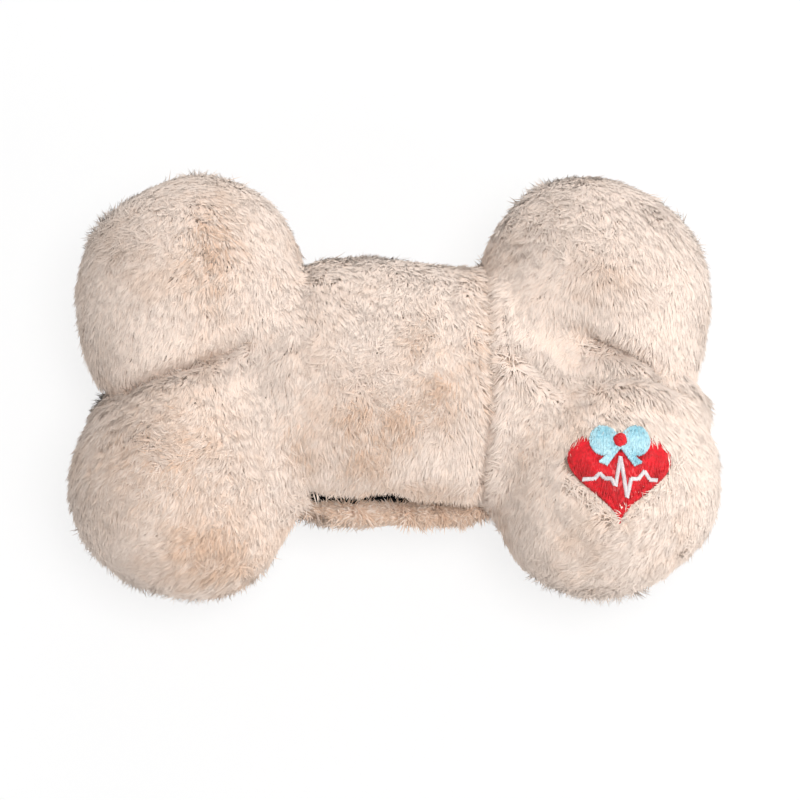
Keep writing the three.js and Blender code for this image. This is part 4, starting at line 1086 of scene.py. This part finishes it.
# Near the flap's hem the strands end a little past it: the black tape shows at the mouth's left half.
hem_places = [-0.0385, -0.030, -0.0275, -0.0225, -0.0205, -0.0190, -0.0125, -0.0105, 0.0015, 0.0050, 0.012, 0.041]
hem_covers = [0.0032, 0.0030, 0.0044, 0.0042, 0.0024, 0.0040, 0.0040, 0.0016, 0.0014, 0.0042, 0.006, 0.0105]
above_hem = (z - hem_z) * 1.15
at_hem = (np.abs(x) < seam_x) & (y < -0.02) & (above_hem > -0.0002) & (above_hem < 0.016)
allowed = above_hem + np.interp(x, hem_places, hem_covers) * random.uniform(0.6, 1.3, count)
length = np.where(at_hem, np.minimum(length, np.maximum(allowed, 0.0015)), length)
half_width = strand_half_width * random.uniform(0.7, 1.25, count)
at_mouth_side = (np.abs(x) > 0.0385) & (np.abs(x) < 0.0430) & (y < -0.02) & (z > lip_top) & (z < hem_z)
length = np.where(at_mouth_side, length * 0.6, length)
tone = random.random(count)
all_middles, all_tips = strands(all_roots, all_facing, nap, lean, length, half_width)
pull = random.uniform(0.35, 0.75, count)
all_tips, tuft = gather(all_tips, all_roots, length, tuft_size, pull)
tuft_tone = np.random.default_rng(3).random(tuft.max() + 1)[tuft]
# Strands on a crease's line get a lower tone: painted shade.
tone = 0.6 * tone + 0.4 * tuft_tone - 3.5 * crease_painted_shade
tan_and_shade_share *= 0.1 + 0.9 * tuft_tone + 0.7 * random.random(count)

x, y, z = all_roots.T
across_shaft = ((y - shaft_y) / (shaft_half_depth - 0.0015)) ** 2 + (
    (z - shaft_z) / (shaft_half_height - 0.0015)) ** 2
shaft_width = 1 - (np.abs(x) / (shaft_half_length - 0.0015)) ** shaft_blunt
in_shaft = (across_shaft < shaft_width) & (np.abs(x) < shaft_half_length - 0.0015)
in_middle = np.abs(x) < seam_x
on_flap = in_middle & (y < flap_root_y) & (z > hem_z - 0.0003)
on_back = in_middle & (z < lip_top) & ~on_flap
regions = {
    "pocket_flap_pile": on_flap,
    "middle_back_pile": on_back,
    "middle_front_pile": in_middle & ~on_flap & ~on_back,
    "left_end_pile": ~in_middle & in_shaft & (x < 0),
    "right_end_pile": ~in_middle & in_shaft & (x > 0),
}
for place, quarter in (("upper_left", (x < 0) & (y > 0)), ("lower_left", (x < 0) & (y <= 0)),
                       ("upper_right", (x > 0) & (y > 0)), ("lower_right", (x > 0) & (y <= 0))):
    on_knob = ~in_middle & ~in_shaft & quarter
    regions[f"{place}_knob_front_pile"] = on_knob & (z > 0.058)
    regions[f"{place}_knob_back_pile"] = on_knob & (z <= 0.058)
for name, mine in regions.items():
    piece = pile_mesh(name, all_roots[mine], all_facing[mine], all_middles[mine], all_tips[mine],
                      half_width[mine], tone[mine], tan_and_shade_share[mine])
    piece.data.materials.append(pile_material)
    print(name, int(mine.sum()))
    if name == "pocket_flap_pile":
        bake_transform(piece)
    else:
        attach(piece, "plush")

# The pile at the flap's hem hangs over the mouth, shorter where the photo shows the black tape, and
# the pile on the lower lip stands up to meet it. The tan on both is painted shade: light on the
# hem's strands, strong on the lip's, which lies under the hem.
def front_of(x_places, z):
    """How far forward the body's cloth reaches at each x, at one height."""
    bpy.context.view_layer.update()
    found = [body.ray_cast((x, -0.2, z), (0, 1, 0)) for x in x_places]
    return np.array([place.y for hit, place, facing, face in found])


def fringe(name, places, facing, nap, length, spread, tan, body_name, seed):
    draw = np.random.default_rng(seed)
    count = len(places)
    out = unit(np.tile(facing, (count, 1)) + draw.normal(size=(count, 3)) * 0.15)
    towards = unit(nap + draw.normal(size=(count, 3)) * spread)
    middles = places + towards * (length * 0.45)[:, None] + out * (length * 0.07)[:, None]
    tips = places + towards * length[:, None] - out * (length * 0.03)[:, None]
    piece = pile_mesh(name, places, out, middles, tips,
                      strand_half_width * draw.uniform(0.65, 1.15, count), draw.random(count),
                      tan * draw.random(count))
    piece.data.materials.append(pile_material)
    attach(piece, body_name)
    return piece


hem_draw = np.random.default_rng(41)
hem_count = 3000
x = hem_draw.uniform(-middle_half + 0.0004, middle_half - 0.0004, hem_count)
behind = hem_draw.uniform(0, 0.0030, hem_count)
hem_roots = np.stack([x, front_of(x, hem_z) + behind, np.full(hem_count, hem_z + 0.0006)], axis=1)
outward = np.interp(x, [-0.04, 0.003, 0.030], [0.9, 0.9, 1.6])
hem_nap = np.stack([0.3 * wavy(hem_roots, 0.012, 9)[:, 0], -outward, np.full(hem_count, -0.9)], axis=1)
hem_length = np.interp(x, hem_places, hem_covers) * hem_draw.uniform(0.7, 1.15, hem_count)
shown = hem_length > 0.0016
# The hem's strands get a light tan: painted shade along the hem.
fringe("pocket_flap_hem_pile", hem_roots[shown], (0, -0.7, 0.7), hem_nap[shown], hem_length[shown], 0.18,
       0.5, "flap", 42)

lip_draw = np.random.default_rng(43)
lip_count = 5000
x = lip_draw.uniform(-middle_half + 0.0002, middle_half - 0.0002, lip_count)
lip_edge = front_of(x, lip_top - 0.0003)
across = lip_draw.random(lip_count)
lip_roots = np.stack([x, lip_edge + (lip_back_y - lip_edge) * across, np.full(lip_count, lip_top - 0.0002)], axis=1)
lip_nap = np.stack([0.9 * wavy(lip_roots, 0.010, 10)[:, 0], -0.6 + 0.6 * across, np.full(lip_count, 0.34)],
                   axis=1)
lip_length = np.interp(x, [-0.041, -0.039, -0.028, -0.026, -0.013, -0.010, 0.002, 0.006],
                       [0.0070, 0.0036, 0.0038, 0.0056, 0.0056, 0.0034, 0.0036, 0.0066])
# The lip's strands get a strong tan: painted shade under the hem.
fringe("pocket_lip_pile", lip_roots, (0, -0.35, 0.94), lip_nap,
       (lip_length + 0.0022 * (1 - across)) * lip_draw.uniform(0.8, 1.25, lip_count), 0.28,
       1.3, "plush", 44)


# The black closing tapes: woven bands, hooks on the lower lip and soft loops under the flap, each
# sewn down along its edges.
tape_cloth = knitted("black_tape", srgb(0.085, 0.085, 0.095), 500.0, 0.6, 0.0003)
tape_fibre, tape_tree, tape_shader = new_material("black_tape_fibre", roughness=0.6, specular=0.4)
fibre_tone = add_node(tape_tree, "ShaderNodeAttribute", attribute_name="tone")
fibre_colour = add_node(tape_tree, "ShaderNodeMix", [
    ("Factor", fibre_tone.outputs["Fac"]), (6, srgb(0.05, 0.05, 0.06)), (7, srgb(0.17, 0.17, 0.19))],
    data_type="RGBA")
tape_tree.links.new(fibre_colour.outputs[2], tape_shader.inputs["Base Color"])
tape_half, tape_front_y, tape_back_y = 0.038, -0.0545, -0.0445
hook_band = box_cutter((-tape_half, tape_front_y, 0.0409), (tape_half, tape_back_y, 0.0415))
hook_band.name = "hook_tape"
pick(hook_band)
bpy.ops.object.modifier_add(type="BEVEL")
hook_band.modifiers[-1].width = 0.0002
hook_band.modifiers[-1].segments = 2
apply_all(hook_band)
hook_band.data.materials.append(tape_cloth)
hook_x, hook_y = np.meshgrid(np.arange(-tape_half + 0.001, tape_half - 0.0008, 0.0011),
                             np.arange(tape_front_y + 0.0012, tape_back_y - 0.0008, 0.0012))
hook_x, hook_y = hook_x.ravel(), hook_y.ravel()
hook_draw = np.random.default_rng(51)
hook_x = hook_x + hook_draw.normal(scale=0.00008, size=len(hook_x))
hook_roots = np.stack([hook_x, hook_y, np.full(len(hook_x), 0.04145)], axis=1)
hook_side = np.where(np.round((hook_y - tape_front_y) / 0.0012).astype(int) % 2 == 0, 1.0, -1.0)
hook_middles = hook_roots + np.stack([hook_side * 0.0001, np.zeros(len(hook_x)), np.full(len(hook_x), 0.0006)], axis=1)
hook_tips = hook_roots + np.stack([hook_side * 0.0006, np.zeros(len(hook_x)), np.full(len(hook_x), 0.00055)], axis=1)
hooks = pile_mesh("hook_tape_hooks", hook_roots, np.tile([0.0, 0.0, 1.0], (len(hook_x), 1)), hook_middles,
                  hook_tips, np.full(len(hook_x), 0.00012), hook_draw.random(len(hook_x)))
hooks.data.materials.append(tape_fibre)
for tape in (hook_band, hooks):
    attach(tape, "plush")
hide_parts("hook_strip")

loop_front_y, loop_back_y = -0.0485, -0.0385
loop_band = copy_of(body, "loop_tape")
slice_off(loop_band, (tape_half, 0, 0), (1, 0, 0), fill=False)
slice_off(loop_band, (-tape_half, 0, 0), (-1, 0, 0), fill=False)
slice_off(loop_band, (0, loop_back_y, 0), (0, 1, 0), fill=False)
slice_off(loop_band, (0, loop_front_y, 0), (0, -1, 0), fill=False)
slice_off(loop_band, (0, 0, hem_z), (0, 0, -1), fill=False)
loop_surface = points_of(loop_band)
loop_facing = normals_of(loop_band)
set_points(loop_band, loop_surface - loop_facing * (flap_wall - 0.0002))
loop_roots, loop_normals = roots_on(loop_band, lambda points: np.full(len(points), 1.6))
bpy.ops.object.select_all(action="DESELECT")
pick(loop_band)
bpy.ops.object.modifier_add(type="SOLIDIFY")
loop_band.modifiers[-1].thickness = 0.0008
loop_band.modifiers[-1].offset = -1
apply_all(loop_band)
loop_band.data.materials.clear()
loop_band.data.materials.append(tape_cloth)
loop_draw = np.random.default_rng(52)
loop_count = len(loop_roots)
loop_down = -loop_normals
loop_roots = loop_roots + loop_down * 0.0007
loop_way = unit(loop_draw.normal(size=(loop_count, 3)) + loop_down * 0.8)
loop_middles = loop_roots + loop_down * 0.0006 + loop_way * 0.0005
loop_tips = loop_roots + loop_down * 0.0004 + loop_way * 0.0013
loops = pile_mesh("loop_tape_loops", loop_roots, loop_down, loop_middles, loop_tips,
                  np.full(loop_count, 0.00011), loop_draw.random(loop_count))
loops.data.materials.append(tape_fibre)
for tape in (loop_band, loops):
    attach(tape, "flap")
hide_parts("loop_strip")
bpy.data.objects.remove(body)


# The pocket's lining: a sleeve of thin pale cloth, closed at its far end and open at the mouth. Its
# ceiling stops where the flap is hinged.
sleeve_half, sleeve_front_y, sleeve_back_y = 0.0404, -0.0440, 0.0303
sleeve_low, sleeve_high, sleeve_wall = 0.0416, 0.0613, 0.0006
sleeve = box_cutter((-sleeve_half, sleeve_front_y, sleeve_low), (sleeve_half, sleeve_back_y, sleeve_high))
sleeve.name = "pocket_lining_cloth"
pick(sleeve)
bpy.ops.object.mode_set(mode="EDIT")
bpy.ops.mesh.select_all(action="DESELECT")
bpy.ops.object.mode_set(mode="OBJECT")
for face in sleeve.data.polygons:
    face.select = face.normal.y < -0.5
bpy.ops.object.mode_set(mode="EDIT")
bpy.ops.mesh.delete(type="FACE")
bpy.ops.mesh.select_all(action="SELECT")
bpy.ops.mesh.subdivide(number_cuts=22)
bpy.ops.object.mode_set(mode="OBJECT")
sleeve_points = points_of(sleeve)
ripple = wavy(sleeve_points, 0.018, 61)
from_middle = sleeve_points - np.array([0, (sleeve_front_y + sleeve_back_y) / 2, (sleeve_low + sleeve_high) / 2])
ceiling = from_middle[:, 2] > 0.0085
at_side = np.abs(np.abs(from_middle[:, 0]) - sleeve_half) < 1e-5
at_back = sleeve_points[:, 1] > sleeve_back_y - 1e-5
sleeve_points[:, 2] += np.where(ceiling & ~at_side & ~at_back, np.clip(ripple[:, 0], -1, 1) * 0.0004, 0)
sleeve_points[:, 0] += np.where(at_side & ~ceiling, np.clip(ripple[:, 1], -1, 1) * 0.00035
                                * np.sign(sleeve_points[:, 0]) * -1, 0)
set_points(sleeve, sleeve_points)
for face in sleeve.data.polygons:
    face.select = face.center.z > sleeve_high - 0.001 and face.center.y < hinge_y
pick(sleeve)
bpy.ops.object.mode_set(mode="EDIT")
bpy.ops.mesh.select_mode(type="FACE")
bpy.ops.object.mode_set(mode="OBJECT")
for face in sleeve.data.polygons:
    face.select = face.center.z > sleeve_high - 0.001 and face.center.y < hinge_y
bpy.ops.object.mode_set(mode="EDIT")
bpy.ops.mesh.delete(type="FACE")
bpy.ops.object.mode_set(mode="OBJECT")
bpy.ops.object.modifier_add(type="SOLIDIFY")
sleeve.modifiers[-1].thickness = sleeve_wall
sleeve.modifiers[-1].offset = 1
apply_all(sleeve)
pick(sleeve)
bpy.ops.object.shade_smooth_by_angle(angle=math.radians(40))
sleeve.data.materials.append(lining_cloth)
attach(sleeve, "plush")
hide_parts("pocket_lining")


# The heartbeat pod. Two moulded halves of white plastic held by two screws, a red rubber button, a
# sliding battery door, and inside them two cells, a board, a switch and a motor with a weight.
wear, wear_in, wear_out = new_group(
    "moulded_finish",
    [("Colour", "NodeSocketColor", (1, 1, 1, 1)), ("Grain per metre", "NodeSocketFloat", 2500.0),
     ("Roughness", "NodeSocketFloat", 0.5), ("Variation", "NodeSocketFloat", 0.05)],
    [("Colour", "NodeSocketColor"), ("Roughness", "NodeSocketFloat"), ("Height", "NodeSocketFloat")])
wear_place = add_node(wear, "ShaderNodeTexCoord")
grain = add_node(wear, "ShaderNodeTexNoise", [
    ("Vector", wear_place.outputs["Object"]), ("Scale", wear_in.outputs["Grain per metre"]), ("Detail", 2.0)])
cloud = add_node(wear, "ShaderNodeTexNoise", [
    ("Vector", wear_place.outputs["Object"]), ("Scale", 90.0), ("Detail", 3.0)])
cloud_middle = add_node(wear, "ShaderNodeMath", [(0, cloud.outputs["Fac"]), (1, 0.5)], operation="SUBTRACT")
cloud_sized = add_node(wear, "ShaderNodeMath", [
    (0, cloud_middle.outputs[0]), (1, wear_in.outputs["Variation"])], operation="MULTIPLY")
cloud_gain = add_node(wear, "ShaderNodeMath", [(0, cloud_sized.outputs[0]), (1, 1.0)], operation="ADD")
wear_colour = add_node(wear, "ShaderNodeVectorMath", [
    (0, wear_in.outputs["Colour"]), ("Scale", cloud_gain.outputs[0])], operation="SCALE")
rough_sum = add_node(wear, "ShaderNodeMath", [
    (0, cloud_middle.outputs[0]), (1, 0.35), (2, wear_in.outputs["Roughness"])], operation="MULTIPLY_ADD")
wear.links.new(wear_colour.outputs[0], wear_out.inputs["Colour"])
wear.links.new(rough_sum.outputs[0], wear_out.inputs["Roughness"])
wear.links.new(grain.outputs["Fac"], wear_out.inputs["Height"])


def moulded(name, colour, roughness, grain_scale=2500.0, bump=0.12, metallic=0.0, variation=0.06):
    material, tree, shader = new_material(name, roughness=roughness, metallic=metallic)
    finish = place_group(tree, wear, Colour=colour, Grain_per_metre=grain_scale,
                         Roughness=roughness, Variation=variation)
    tree.links.new(finish.outputs["Colour"], shader.inputs["Base Color"])
    tree.links.new(finish.outputs["Roughness"], shader.inputs["Roughness"])
    raise_from(tree, shader, finish.outputs["Height"], bump, 0.0002)
    return material


pod_finishes = {
    "white_plastic": moulded("pod_white_plastic", srgb(0.87, 0.865, 0.85), 0.42),
    "red_rubber": moulded("button_red_rubber", srgb(0.78, 0.12, 0.16), 0.62, 1800.0, 0.2),
    "black_plastic": moulded("black_plastic", srgb(0.10, 0.10, 0.11), 0.5),
    "steel": moulded("bright_steel", srgb(0.74, 0.75, 0.77), 0.28, 4000.0, 0.05, metallic=1.0, variation=0.1),
    "brass": moulded("weight_brass", srgb(0.83, 0.68, 0.40), 0.3, 4000.0, 0.05, metallic=1.0, variation=0.15),
    "cell_sleeve": moulded("cell_green_sleeve", srgb(0.16, 0.33, 0.24), 0.35, 1200.0, 0.04),
    "board": moulded("board_green", srgb(0.10, 0.42, 0.24), 0.38, 900.0, 0.1, variation=0.25),
    "red_sleeve": moulded("red_wire_sleeve", srgb(0.72, 0.12, 0.15), 0.45),
    "black_sleeve": moulded("black_wire_sleeve", srgb(0.12, 0.12, 0.13), 0.45),
}
pod_nodes = {
    "lower_case": "white_plastic", "upper_case": "white_plastic", "battery_door": "white_plastic",
    "push_button": "red_rubber", "push_switch": "black_plastic", "control_chip": "black_plastic",
    "circuit_board": "board", "motor": "steel", "motor_cradle": "black_plastic", "motor_axle": "steel",
    "eccentric_weight": "brass", "front_cell": "cell_sleeve", "rear_cell": "cell_sleeve",
    "bridge_contact": "steel", "positive_contact": "steel", "negative_contact": "steel",
    "positive_lead": "red_sleeve", "negative_lead": "black_sleeve",
    "front_motor_lead": "red_sleeve", "rear_motor_lead": "black_sleeve",
    "left_screw": "steel", "right_screw": "steel",
}
for node, finish in pod_nodes.items():
    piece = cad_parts[node]
    for place in piece.material_slots:
        place.material = pod_finishes[finish]
    if not piece.material_slots:
        piece.data.materials.append(pod_finishes[finish])


# Lists any cover, filling or flap node that is still shown.
for node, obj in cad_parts.items():
    if not obj.hide_render and node.endswith(("_cover", "_filling", "pocket_flap")):
        print("still showing:", node)
